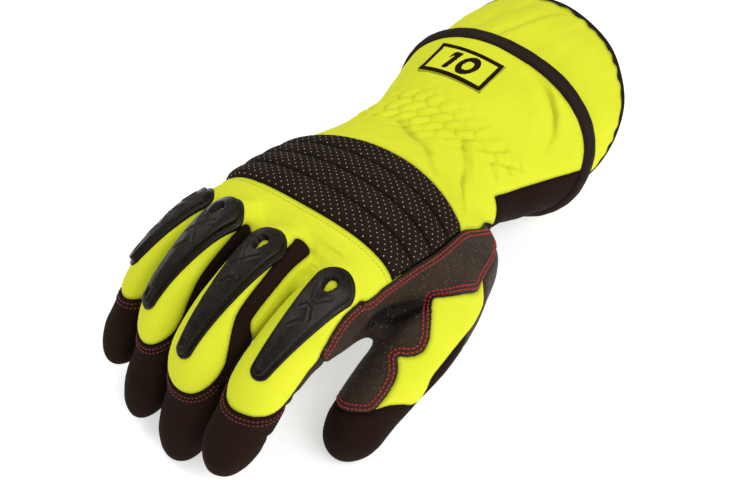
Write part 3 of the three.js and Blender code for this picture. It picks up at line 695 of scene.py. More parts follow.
# Seam of the thumb's tip: joint number by place across
THUMB_TIP_SEAM: Table = (
    (-20, 3.3), (-15.4, 3.27), (-10.7, 3.16), (-6.3, 3.06), (-4.4, 2.99), (-1, 2.86), (4, 2.76),
    (11.9, 2.71), (20, 2.7),
)
OUTER_FROM = 1.7  # joint number from which the thumb's outer side is black
SADDLE_THUMB_FROM = 1.2  # joint number up to which the leather's rear end counts on the thumb
THUMB_BACK_FROM = 0.92
THUMB_SIDE_LOW = -9.0
SADDLE_THUMB_LOW = -6.0
SADDLE_INDEX_LOW = -12.0
SADDLE_INDEX_END = 1.53
SADDLE_FROM = 40.0
SADDLE_FRONT, SADDLE_SPLIT = -2.0, 10.0  # places along y where the leather's front end changes hands
FINGERS_END = 17.0  # place along y in front of which the fingers' pieces lie
THUMB_YELLOW_FROM = 70.0  # place along y behind which the thumb's root may be yellow
SADDLE_REAR = 122.0
SADDLE_ROUND = 24.0
# Lower edge of the leather between thumb and index finger: z by y
SADDLE_LOW: Table = ((-34, -20), (20, -27), (90, -27), (113, -22), (123, -17))
BAND_FRONT = (26.0, 3.0, 0.0, 55.0)  # at, sag, middle, half: y = at + sag * ((x - middle) / half)^2
BAND_BACK = (93.0, -7.0, 8.0, 42.0)


class Panel(Enum):
    """Pieces of cloth and leather that the skin is cut into, by the frame's node names."""

    BAND = "knuckle_band"
    BACK = "back_panel"
    WRIST = "wrist_panel"
    THUMB_BACK = "thumb_back"
    SADDLE = "thumb_saddle"
    INDEX_TIP = "index_tip"
    MIDDLE_TIP = "middle_tip"
    RING_TIP = "ring_tip"
    LITTLE_TIP = "little_tip"
    THUMB_TIP = "thumb_tip"
    INDEX_MIDDLE = "fourchette_index_middle"
    MIDDLE_RING = "fourchette_middle_ring"
    RING_LITTLE = "fourchette_ring_little"
    CUFF_PALM = "cuff_palm"
    PALM = "palm_panel"


TIPS = (Panel.INDEX_TIP, Panel.MIDDLE_TIP, Panel.RING_TIP, Panel.LITTLE_TIP)
FOURCHETTES = (Panel.INDEX_MIDDLE, Panel.MIDDLE_RING, Panel.RING_LITTLE)


def arc_edge(edge: Sequence[float], across: Array) -> Array:
    """Place along Y of one edge of the padded band."""
    at, sag, middle, half = edge
    return at + sag * ((across - middle) / half) ** 2


@dataclass
class Pattern:
    """Seam lines of the glove, as values that are zero on a seam."""

    skin: Skin
    BLEND: float = 1.2  # mm over which neighbouring fingers share a seam's course

    def shared(self, value: Callable[[str], Array]) -> Array:
        """A value of the four fingers, blended where two are equally near."""
        distances = np.stack([self.skin[f"{name} distance"] for name in FINGER_NAMES], axis=1)
        near = np.exp(-(distances - distances.min(axis=1, keepdims=True)) / self.BLEND)
        shares = near / near.sum(axis=1, keepdims=True)
        return (np.stack([value(name) for name in FINGER_NAMES], axis=1) * shares).sum(axis=1)

    def finger(self, kind: str) -> Array:
        """Joint number or height above the centre line, on the nearest finger."""
        return self.shared(lambda name: self.skin[f"{name} {kind}"])

    def strip_height(self, name: str) -> Array:
        """Height above the edge of the yellow strip on one finger."""
        at, up, across = (self.skin[f"{name} {kind}"] for kind in ("at", "up", "across"))
        moved = np.maximum(at - STRIP_SHIFTS[name], STRIP_SHIFTED_FROM)
        edge = table_curve(STRIP_EDGE, np.where(at > STRIP_SHIFTED_FROM, moved, at))
        if name == "index":
            open_side = smooth_step(-3.0, 7.0, across)
            edge = edge + (table_curve(INDEX_EDGE, at - INDEX_EDGE_SHIFT) - edge) * open_side
        if name in STRIP_SPREAD:
            drop, facing = STRIP_SPREAD[name]
            side = smooth_step(-2.0, 6.0, facing * across)
            edge = edge - drop * side * smooth_step(0.3, 0.6, at) * (1 - smooth_step(1.5, 2.0, at))
        height = up - edge
        if name == "middle":
            below = smooth_step(2.0, 6.0, across) * FAR - FAR
            height = np.maximum(height, below - height - MIDDLE_STRIP - 2 * FAR * smooth_step(1.5, 2.1, at))
        return height

    def side_seam(self, seams: tuple[Table, Table]) -> Array:
        """Height above the seam along both sides of the hand."""
        thumb_side, little_side = (table_curve(seam, self.skin["hand at"]) for seam in seams)
        side = smooth_step(-12.0, 12.0, self.skin["hand across"])
        return self.skin["hand up"] - (little_side * (1 - side) + thumb_side * side)

    def yellow(self) -> Array:
        """Positive on the yellow back of the fingers and the hand."""
        y, hand_seam = self.skin["y"], self.side_seam(HAND_SEAM)
        front = y - table_curve(BACK_FRONT, self.skin["x"])
        joined = smooth_union(-self.shared(self.strip_height), -smooth_union(front, hand_seam, 2.0), 3.0)
        far = smooth_step(0.0, 12.0, y - 26.0)
        return -joined * (1 - far) + hand_seam * far

    def nearest_two(self, first: str, second: str) -> Array:
        """Difference of the distances to two fingers."""
        return self.skin[f"{first} distance"] - self.skin[f"{second} distance"]

    def thumb_side(self) -> Array:
        """Negative where the thumb is nearer than hand and fingers."""
        others = [self.skin[f"{name} distance"] for name in ("body", *FINGER_NAMES)]
        return self.skin["thumb distance"] - np.min(others, axis=0)

    def thumb_edge(self, edge: Table) -> Array:
        """Positive on the inner side of one of the thumb's edges."""
        return table_curve(edge, self.skin["thumb at"]) - self.skin["thumb across"]

    def thumb_end(self) -> Array:
        """Positive on the thumb's tip."""
        return self.skin["thumb at"] - table_curve(THUMB_TIP_SEAM, self.skin["thumb across"])

    def saddle_low(self) -> Array:
        """Height above the lower edge of the leather."""
        return self.skin["z"] - table_curve(SADDLE_LOW, self.skin["y"])

    def saddle_rear(self) -> Array:
        """Positive behind the rounded rear end of the leather."""
        return -smooth_union(SADDLE_REAR - self.skin["y"], -self.side_seam(HAND_SEAM), SADDLE_ROUND)

    def behind(self, edge: Sequence[float]) -> Array:
        """Positive behind one edge of the padded band."""
        return self.skin["y"] - arc_edge(edge, self.skin["x"])

    def lines(self) -> Iterator[Array]:
        """Every line that the skin is cut along, each read after the cuts before it."""
        yield self.skin["hand at"] - SKIN_END
        yield self.skin["y"] - CUFF_START
        yield self.yellow()
        yield self.side_seam(HAND_SEAM)
        yield self.side_seam(CUFF_SEAM)
        yield self.behind(BAND_FRONT)
        yield self.behind(BAND_BACK)
        for first, second in zip(FINGER_NAMES, FINGER_NAMES[1:]):
            yield self.nearest_two(first, second)
        yield self.finger("up") - SIDE_LOW
        yield self.finger("at") - TIP_FROM
        yield self.thumb_side()
        yield self.thumb_edge(LEATHER_EDGE)
        yield self.thumb_edge(OUTER_EDGE)
        yield self.thumb_end()
        yield self.skin["thumb at"] - THUMB_BACK_FROM
        yield self.skin["thumb up"] - THUMB_SIDE_LOW
        yield self.skin["thumb up"] - SADDLE_THUMB_LOW
        yield self.skin["index up"] - SADDLE_INDEX_LOW
        yield self.skin["index at"] - SADDLE_INDEX_END
        yield self.skin["index across"].copy()
        yield self.saddle_low()
        yield self.saddle_rear()
        yield self.skin["x"] - SADDLE_FROM

    def labels(self) -> Array:
        """The panel of every triangle, as its place in Panel, or -1 beyond the end of the cuff."""
        skin, members = self.skin, list(Panel)
        label = np.full(len(skin.triangles), members.index(Panel.PALM))

        def give(panel: Panel, where: Array) -> None:
            """Puts triangles into a panel."""
            label[where] = members.index(panel)

        def over(column: Array) -> Array:
            """Mean of a column over the corners of each triangle."""
            return column[skin.triangles].mean(axis=1)

        x, y, thumb_at, thumb_up = (over(skin[name]) for name in ("x", "y", "thumb at", "thumb up"))
        finger_at, hand = over(self.finger("at")), over(self.side_seam(HAND_SEAM)) > 0
        thumb, leather = over(self.thumb_side()) < 0, over(self.thumb_edge(LEATHER_EDGE)) > 0
        nearest = np.stack([over(skin[f"{name} distance"]) for name in FINGER_NAMES], axis=1).argmin(axis=1)
        index_side = (over(self.nearest_two("index", "middle")) < 0) & (over(skin["index across"]) > 0)
        little_side = (nearest == 3) & (over(skin["little across"]) < 0)
        fingers = ~thumb & (y < FINGERS_END)
        side = fingers & (over(self.finger("up")) > SIDE_LOW)
        between = side & ~index_side & ~little_side & (finger_at < TIP_FROM)
        middle_in, ring_out = over(skin["middle across"]) > 0, over(skin["ring across"]) < 0
        give(Panel.MIDDLE_RING, between)
        give(Panel.INDEX_MIDDLE, between & ((nearest == 0) | ((nearest == 1) & middle_in)))
        give(Panel.RING_LITTLE, between & ((nearest == 3) | ((nearest == 2) & ring_out)))

        on_index = index_side & (over(skin["index at"]) < SADDLE_INDEX_END)
        reach = on_index & (over(skin["index up"]) > SADDLE_INDEX_LOW)
        saddle_side = (x > SADDLE_FROM) & (over(self.saddle_low()) > 0)
        before, front = over(self.saddle_rear()) < 0, y > SADDLE_FRONT
        on_hand = saddle_side & before & (front | on_index)
        split = np.where(y > SADDLE_SPLIT, on_hand, reach | (on_hand & front))
        on_thumb = (thumb_up > SADDLE_THUMB_LOW) & (thumb_at > SADDLE_THUMB_FROM)
        give(Panel.SADDLE, ~thumb & split)
        give(Panel.SADDLE, thumb & leather & (on_thumb | (on_hand & (thumb_at <= SADDLE_THUMB_FROM))))

        bare, above = thumb & ~leather, thumb_up > THUMB_SIDE_LOW
        outer = over(self.thumb_edge(OUTER_EDGE)) > 0
        give(Panel.PALM, bare & above)
        give(Panel.THUMB_TIP, bare & ~outer & (thumb_at > OUTER_FROM) & above)
        give(Panel.THUMB_BACK, bare & outer & (thumb_at > THUMB_BACK_FROM) & (thumb_up > 0))
        give(Panel.THUMB_TIP, thumb & (over(self.thumb_end()) > 0))
        for number, panel in enumerate(TIPS):
            give(panel, fingers & (nearest == number) & (finger_at > TIP_FROM))

        cuff, yellow = y > CUFF_START, over(self.yellow()) > 0
        yellow &= (~thumb | (y > THUMB_YELLOW_FROM)) & (y < CUFF_START)
        band_back = over(self.behind(BAND_BACK))
        give(Panel.BACK, yellow)
        give(Panel.BAND, yellow & hand & (over(self.behind(BAND_FRONT)) > 0) & (band_back < 0))
        give(Panel.WRIST, yellow & hand & (band_back > 0))
        give(Panel.CUFF_PALM, cuff | (~thumb & ~hand & saddle_side & (over(self.saddle_rear()) > 0)))
        give(Panel.WRIST, cuff & (over(self.side_seam(CUFF_SEAM)) > 0))
        label[over(skin["hand at"]) > SKIN_END] = -1
        return label


def laid(points: Array) -> Array:
    """Points of the hand frame in the row frame, in metres."""
    along = points[:, 1] * LAY_COS + points[:, 2] * LAY_SIN
    up = points[:, 2] * LAY_COS - points[:, 1] * LAY_SIN
    return (np.column_stack([points[:, 0], along, up]) + np.array(LAY_SHIFT)) * MM


def laid_vector(vector: Sequence[float]) -> Vector:
    """A direction of the hand frame in the row frame."""
    x, y, z = vector
    return Vector((x, y * LAY_COS + z * LAY_SIN, z * LAY_COS - y * LAY_SIN))


def above_floor(form: GloveForm, points: Array) -> Array:
    """Points lifted out of the surface that the glove lies on."""
    miss = np.maximum(FLOOR_CLEARANCE - form.floor(points), 0.0)
    return points + miss[:, None] * np.array([0.0, -LAY_SIN, LAY_COS])


def link(name: str, data: bpy.types.ID) -> Piece:
    """Puts a mesh, light or camera into the scene."""
    piece = bpy.data.objects.new(name, data)
    bpy.context.scene.collection.objects.link(piece)
    return piece


def mesh_object(name: str, points: Array, faces: Array, material: Material) -> Piece:
    """A smooth mesh in the row frame from points of the hand frame in mm, put into the scene."""
    mesh = bpy.data.meshes.new(name)
    mesh.from_pydata(laid(points).tolist(), [], faces.tolist())
    mesh.materials.append(material)
    mesh.update()
    mesh.polygons.foreach_set("use_smooth", np.ones(len(mesh.polygons), bool))
    return link(name, mesh)


def edge_values(piece: Piece, values: Array) -> None:
    """Keeps a value for each point of a piece: distance from an edge, lowered in creases on some panels to
    paint shade.
    """
    layer = piece.data.attributes.new("edge", "FLOAT", "POINT")
    layer.data.foreach_set("value", np.asarray(values, np.float32))


def tie(piece: Piece, node: str, slot: str) -> None:
    """Attaches a piece to the frame's root body and hides the frame's node that it dresses."""
    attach(piece, "root")
    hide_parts(node)
    LOG.info("built %s", node)


def nearest_distance(points: Array, targets: Array) -> Array:
    """Distance from each point to the nearest target."""
    tree = KDTree(len(targets))
    for number, target in enumerate(targets.tolist()):
        tree.insert(target, number)
    tree.balance()
    return np.array([tree.find(point)[2] for point in points.tolist()])


def lengths(line: Array) -> Array:
    """Length of a line up to each of its points."""
    return np.concatenate([[0.0], np.cumsum(np.linalg.norm(np.diff(line, axis=0), axis=1))])


def fractal(points: Array, size: float, seed: int) -> Array:
    """Noise from about -1 to 1 with lumps of the given size in mm and finer ones on them."""
    return (hash_noise(points / size, seed) + 0.5 * hash_noise(points / size * 2.03, seed + 1)) / 1.3


@dataclass(frozen=True)
class Fold:
    """Fold in the cloth along a line."""

    track: Table  # points of the line on the glove
    height: float  # height of its ridge, mm, negative for a crease
    width: float  # how far it reaches to each side, mm
    BLUNT: float = 0.06  # share of its length at each end over which it doesn't fade further

    def heights(self, points: Array) -> Array:
        """Height of the fold at points."""
        line = np.array(self.track, float)
        best, share = np.full(len(points), FAR), np.zeros(len(points))
        for number, (start, end) in enumerate(zip(line, line[1:])):
            apart, along = beside_line(points, start, end)
            closer = apart < best
            best = np.where(closer, apart, best)
            share = np.where(closer, (number + along) / (len(line) - 1), share)
        fade = np.sin(np.pi * np.clip(share, self.BLUNT, 1 - self.BLUNT)) ** 0.7
        return self.height * fade * bell(best, self.width)


CUFF_FOLDS = (
    Fold(((7, 137, 20), (10, 133.5, 20), (14, 127, 17.5), (23, 121, 13), (30, 110, 10.5), (41.5, 100, 8.5),
          (45, 92, 7)), -2.1, 1.9),
    Fold(((13, 137, 19), (21, 128, 15.5), (29, 119, 11.5), (38, 109, 8.5), (46, 98, 5)), 2.3, 3.4),
    Fold(((8, 186, 38), (16, 184, 34), (25, 180, 30), (32.5, 176, 25), (38.5, 169.5, 18.8), (41, 160, 12)),
         -2.6, 2.0),
    Fold(((4, 178, 35), (14, 176, 33), (24, 171, 29), (31, 164, 23), (34, 153, 17)), 2.4, 6.0),
    Fold(((-36, 122, 9), (-26.5, 118.8, 14.6), (-8.5, 113, 17), (6, 109.5, 17)), -2.0, 2.6),
    Fold(((-40, 114, 10), (-28, 110, 15), (-12, 104, 18.5), (4, 99, 19)), 1.6, 4.5),
    Fold(((-10, 122, 18), (2, 112, 18), (14, 103, 17.5), (26, 97, 16)), -1.4, 2.4),
    Fold(((30, 100, 15), (38, 92, 15.5), (45, 86, 14)), -1.0, 2.4),
    Fold(((42, 126, -3.5), (41.5, 138, 0), (42.5, 148, 2.6), (46, 160, 4)), 1.1, 4.0),
    Fold(((26, 134, 13), (33, 132, 10), (41, 128, 4)), -1.4, 1.8),
    Fold(((24, 144, 15), (33, 141, 12), (42, 137, 6)), -1.2, 1.8),
    Fold(((36, 130, 9), (39, 142, 9), (44, 156, 9)), -1.0, 2.2),
    Fold(((-60, 128, 2), (-56, 140, 8), (-58, 155, 14)), -1.0, 4.0),
)
# Folds along the gauntlet: x at the rim, lean, width, height
GAUNTLET_FOLDS = (
    (-27.0, 0.3, 3.4, -1.9), (-20.0, 0.26, 5.0, 1.3), (-4.0, 0.1, 2.2, -0.8), (9.0, -0.2, 3.0, -0.9),
    (27.0, -0.3, 4.0, -0.8), (-44.0, 0.3, 4.0, -0.8),
)
# Valley between the thumb and the root of the index finger
SADDLE_FOLDS = (
    Fold(((60, 4, -10), (61.5, 17.8, -6.6), (63, 27, -6.5), (67, 36, -4), (71, 43, -2), (74, 52, -1)),
         -2.9, 3.0),
    Fold(((64, 8, -14), (66, 22, -12), (69, 32, -9), (73, 42, -6), (75, 50, -4)), -2.2, 8.0),
)
PALM_FOLDS = (
    Fold(((50, 60, -33), (28, 52, -36), (10, 62, -37), (0, 90, -38)), -1.0, 4.0),
    Fold(((-58, 30, -28), (-20, 22, -32), (25, 24, -30), (48, 30, -27)), -1.0, 4.0),
    Fold(((-40, 124, -30), (-8, 118, -36), (28, 122, -32)), -1.2, 5.0),
    Fold(((-44, 134, -28), (-8, 130, -37), (30, 134, -30)), 1.0, 5.0),
)


SMOCK_TURN = math.radians(52.0)  # of the gathers' long way, from across the hand to along it
SMOCK_LENGTH = 11.5  # mm
SMOCK_WIDTH = 6.6
SMOCK_HEIGHT = 2.7
CROWN_SHARE = 0.62  # part of the height of gathers and channels that lies below the smooth skin
SMOCK_BEND = 17.0  # length of the bends in the gathers' rows, mm
SMOCK_PATCH = 13.0  # size of the places where they are stronger or weaker, mm
# Area of the gathers: x, middle along y, half reach
SMOCK_AREA: Table = (
    (-58, 124, 10), (-45, 125, 15), (-30, 127, 16), (-10, 131, 15), (10, 135, 12), (25, 139, 9), (42, 143, 4),
)


FOLDS = {
    Panel.WRIST: CUFF_FOLDS,
    Panel.SADDLE: SADDLE_FOLDS,
    Panel.PALM: PALM_FOLDS,
    Panel.CUFF_PALM: PALM_FOLDS,
}
KNUCKLE_CREASES = ((2.02, 0.07), (1.05, 0.09), (3.0, 0.06))  # joint number and reach


@dataclass
class Relief:
    """Height of the cloth's folds, gathers and seams above the smooth skin."""

    pattern: Pattern
    CHANNELS: int = 4
    CHANNEL_HEIGHT: float = 2.4  # mm
    BAND_PROUD: float = 1.5  # height of the band above the cloth beside it, mm

    def smocking(self, points: Array) -> Array:
        """Height of the gathers of the elastic behind the wrist, in slanting rows like bricks."""
        x, y = points[:, 0], points[:, 1]
        cosine, sine, bent = math.cos(SMOCK_TURN), math.sin(SMOCK_TURN), points / SMOCK_BEND
        along = (x * cosine + y * sine) / SMOCK_LENGTH + 0.3 * hash_noise(bent, 31)
        across = (x * sine - y * cosine) / SMOCK_WIDTH + 0.28 * hash_noise(bent, 33)
        shifted = along + 0.5 * np.floor(across)
        cells = (np.abs(np.sin(np.pi * shifted)) * np.abs(np.sin(np.pi * across))) ** 0.45 - CROWN_SHARE
        middle, reach = table_curve(SMOCK_AREA, x, 1), table_curve(SMOCK_AREA, x, 2)
        strength = np.clip(0.8 + 0.6 * hash_noise(points / SMOCK_PATCH, 32), 0.1, 1.3)
        return SMOCK_HEIGHT * cells * np.exp(-(((y - middle) / reach) ** 4)) * strength

    def channels(self, points: Array) -> tuple[Array, Array]:
        """Height of the padded band's stuffed channels, and distance to the nearest seam between two."""
        front, back = arc_edge(BAND_FRONT, points[:, 0]), arc_edge(BAND_BACK, points[:, 0])
        share = np.clip((points[:, 1] - front) / (back - front), 0.0, 1.0) * self.CHANNELS
        crown = np.abs(np.sin(np.pi * share)) ** 0.34
        apart = np.abs(share - np.round(share)) * (back - front) / self.CHANNELS
        return self.BAND_PROUD + self.CHANNEL_HEIGHT * (crown - CROWN_SHARE), apart

    def knuckle_creases(self, chosen: Array) -> Array:
        """Shallow creases across the fingers where they bend."""
        at, up = self.pattern.finger("at")[chosen], self.pattern.finger("up")[chosen]
        folds = sum(bell(at - place, width) for place, width in KNUCKLE_CREASES)
        return -0.8 * folds * (1 - smooth_step(-4.0, 4.0, up))

    def cloth(self, points: Array, used: Array, soft: float, panel: Panel) -> Array:
        """Height of a panel's cloth at its points and their numbers on the skin, with soft small lumps."""
        height = soft * (0.7 * fractal(points, 16.0, 3) + 0.35 * fractal(points, 5.5, 9))
        if panel is Panel.WRIST:
            height += self.smocking(points)
        height += sum(fold.heights(points) for fold in FOLDS.get(panel, ()))
        if panel is Panel.BAND:
            height += self.channels(points)[0]
        if panel in (Panel.PALM, *TIPS):
            height += self.knuckle_creases(used) * smooth_step(4.0, -8.0, points[:, 1])
        return height


@dataclass(frozen=True)
class PanelStyle:
    """How one panel of the skin is made up."""

    panel: Panel  # which panel
    slot: str  # the record's material slot
    lift: float = 0.15  # height of the panel above its neighbours, mm
    edge_depth: float = 0.95  # how deep its edge is pulled in by the seam, mm
    edge_width: float = 1.7  # how far from the edge that reaches, mm
    soft: float = 0.45  # height of the small lumps in it, mm


PANEL_STYLES = (
    PanelStyle(Panel.BAND, "knit", 0.0, 1.7, 1.3, 0.15),
    PanelStyle(Panel.BACK, "yellow_cloth", 0.2, 0.95, 1.8, 0.4),
    PanelStyle(Panel.WRIST, "yellow_cloth", 0.2, 1.0, 1.9, 0.6),
    PanelStyle(Panel.THUMB_BACK, "yellow_cloth", 0.15, 0.9, 1.6, 0.35),
    PanelStyle(Panel.SADDLE, "leather", 0.55, 1.0, 0.9, 0.35),
    *(PanelStyle(tip, "black_cloth") for tip in (*TIPS, Panel.THUMB_TIP)),
    *(PanelStyle(strip, "black_cloth", 0.0, 0.5, 1.4, 0.2) for strip in FOURCHETTES),
    PanelStyle(Panel.CUFF_PALM, "black_cloth", 0.1, 0.9, 1.8, 0.5),
    PanelStyle(Panel.PALM, "leather", 0.1, 0.8, 1.5, 0.4),
)


@dataclass
class MadePanel:
    """Outer side of a panel as built, kept for the rows of stitches on it."""

    used: Array  # numbers of its points on the skin
    outer: Array  # its outer points, mm
    triangles: Array
    edges: Array  # its open edges

    def rim(self) -> Array:
        """Numbers on the skin of the points on its edges."""
        return self.used[np.unique(self.edges)]


PAINTED_CREASE_EDGES = {Panel.WRIST: 2.1, Panel.SADDLE: 1.3}  # value of "edge" where the cloth is smooth, mm; it falls in creases so that the seam colour paints shade there
CREASE_SHADE = 0.85  # how much that value falls for a mm of crease depth, deepening the painted shade


def finer(points: Array, normals: Array, triangles: Array, edges: Array) -> tuple[Array, ...]:
    """Splits every triangle into four.

    Args:
        points: Points of the surface.
        normals: Normals at them.
        triangles: Its triangles.
        edges: Its open edges.

    Returns:
        Points with the new ones last, normals, triangles, ends of each halved side, and the middle
        point of each open edge.
    """
    sides = np.sort(np.vstack([triangles[:, [0, 1]], triangles[:, [1, 2]], triangles[:, [2, 0]]]), axis=1)
    pairs, place = np.unique(sides, axis=0, return_inverse=True)
    count = len(points)
    a, b, c = triangles.T
    ab, bc, ca = place.reshape(3, -1) + count
    split = np.vstack([np.stack(t, axis=1) for t in ((a, ab, ca), (b, bc, ab), (c, ca, bc), (ab, bc, ca))])
    ends = np.sort(edges, axis=1)
    middle = np.searchsorted(pairs @ (count, 1), ends @ (count, 1)) + count
    all_normals = np.vstack([normals, normalised(normals[pairs].sum(axis=1))])
    return np.vstack([points, points[pairs].mean(axis=1)]), all_normals, split, pairs, middle


@dataclass
class Shell:
    """The glove's skin, cut into closed panels of cloth and leather."""

    form: GloveForm
    finishes: dict[str, Material]  # material of each slot
    made: dict[Panel, MadePanel] = field(default_factory=dict)  # panels built so far
    BAND_GIRTH: tuple[float, float] = (61.0, 28.0)  # half width and height of the hand under the band
    CREASE_DEPTH: float = 0.7  # depth of a crease that the inner side doesn't follow, mm

    def __post_init__(self) -> None:
        """Draws the skin and cuts it along its seams."""
        self.skin = Skin(self.form)
        self.pattern = Pattern(self.skin)
        for line in self.pattern.lines():
            self.skin.cut(line)
        self.labels = self.pattern.labels()
        self.normals = point_normals(self.skin.points, self.skin.triangles)
        self.relief = Relief(self.pattern)

    def build(self) -> None:
        """Builds every panel."""
        for style in PANEL_STYLES:
            self.made[style.panel] = self.panel(style)

    def panel(self, style: PanelStyle) -> MadePanel:
        """Builds one panel as a closed piece with an outer and an inner side."""
        panel = style.panel
        used, triangles, edges = self.skin.panel(self.labels == list(Panel).index(panel))
        points, normals, facing = self.skin.points[used], self.normals[used], triangles
        inside = len(used)
        fine = panel is Panel.WRIST
        if fine:
            points, normals, facing, pairs, middle = finer(points, normals, triangles, edges)
        count = len(points)
        apart = nearest_distance(points, points[np.unique(edges)])
        height = self.relief.cloth(points, used, style.soft, panel)
        seams = apart
        if panel is Panel.BAND:
            seams = np.minimum(apart, self.relief.channels(points)[1])
        # On the wrist and the saddle the edge value also falls in creases and hollows, so that the seam
        # colour paints shade into them
        if panel in PAINTED_CREASE_EDGES:
            hollows = np.minimum(height + 0.3, 0.0)
            seams = np.minimum(apart, PAINTED_CREASE_EDGES[panel] + CREASE_SHADE * hollows)
        rise = smooth_step(0.0, 3.0 * style.edge_width, apart)
        height = style.lift + height * rise - style.edge_depth * bell(apart, style.edge_width)
        outer = above_floor(self.form, points + normals * height[:, None])
        depth = WALL + np.maximum(-height - self.CREASE_DEPTH, 0.0)
        first, second = edges.T
        rim = [(second, first + count, second + count)]
        if fine:
            for end in pairs.T:
                np.maximum.at(depth, end, depth[inside:])
            rim += [(second, middle, first + count), (middle, first, first + count)]
        else:
            rim.append((second, first, first + count))
        inner = above_floor(self.form, points[:inside] - normals[:inside] * depth[:inside, None])
        sides = [np.stack(corners, axis=1) for corners in rim]
        faces = np.vstack([facing, triangles[:, ::-1] + count, *sides])
        piece = mesh_object(panel.value, np.vstack([outer, inner]), faces, self.finishes[style.slot])
        edge_values(piece, np.concatenate([seams, apart[:inside]]))
        tie(piece, panel.value, style.slot)
        if panel is Panel.BAND:
            self.lay_out(piece, np.vstack([points, points]))
        return MadePanel(used, outer[:inside], triangles, edges)

    def lay_out(self, piece: Piece, points: Array) -> None:
        """Gives the padded band a UV map in mm, across and along the hand."""
        half, height = self.BAND_GIRTH
        _, across, up = self.form.body.coordinates(points)
        angle = np.arctan2(across / half, np.maximum(up, -20.0) / height + 0.35)
        turns = np.linspace(-2.2, 2.2, 200)
        line = np.column_stack([half * np.sin(turns), height * np.cos(turns)])
        u = np.interp(angle, turns, lengths(line))
        v = points[:, 1] - arc_edge(BAND_FRONT, points[:, 0])
        corners = np.empty(len(piece.data.loops), int)
        piece.data.loops.foreach_get("vertex_index", corners)
        layer = piece.data.uv_layers.new(name="cloth")
        layer.data.foreach_set("uv", np.column_stack([u, v])[corners].astype(np.float32).ravel())


def quads(grid: Array) -> Array:
    """Four-cornered faces between neighbours in a grid of point numbers."""
    corners = (grid[:-1, :-1], grid[:-1, 1:], grid[1:, 1:], grid[1:, :-1])
    return np.stack([corner.ravel() for corner in corners], axis=1)


def tube_faces(grid: Array, closed: bool = False) -> Array:
    """Faces of a tube whose rings are the rows of a grid, closed where the last ring joins the first."""
    return quads(np.pad(grid, ((0, int(closed)), (0, 1)), mode="wrap"))


def two_sided(rows: int, columns: int) -> Array:
    """Faces of a closed piece made of an upper and a lower grid of points."""
    under = rows * columns
    grid = np.arange(under).reshape(rows, columns)
    top = quads(grid)[:, [0, 3, 2, 1]]
    border = np.concatenate([grid[:, 0], grid[-1, 1:], grid[::-1, -1][1:], grid[0, ::-1][1:-1]])
    after = np.roll(border, -1)
    rim = np.stack([after, border, border + under, after + under], axis=1)
    return np.vstack([top, top[:, ::-1] + under, rim])


def turned_out(points: Array, faces: Array) -> Array:
    """Four-cornered faces of a closed mesh, turned round together where they would face inwards."""
    volume = 0.0
    for chosen in ((0, 1, 2), (0, 2, 3)):
        first, second, third = (points[faces[:, number]] for number in chosen)
        volume += (first * np.cross(second, third)).sum()
    return faces if volume > 0 else faces[:, ::-1]


# Hole of a knuckle guard: distance from the guard's wide end and half width, mm
GUARD_HOLE: Table = ((8, 0), (8.7, 1.8), (10.3, 2.6), (12.8, 2.2), (15.4, 1.3), (16.2, 0))
# Lines moulded in its top: distance from the wide end and place across at both ends, mm
GUARD_LINES = (((15.5, -4.6), (31, 3.2)), ((17, 4.4), (29, -3.4)), ((33, 1.2), (38.5, -1.6)))
GUARD_SPAN = (0.8, 2.095)  # joint numbers of its ends
GUARD_NOTCH = (8.2, 1.1, 2.4)  # notch near its narrow end: distance from that end, half sizes, mm


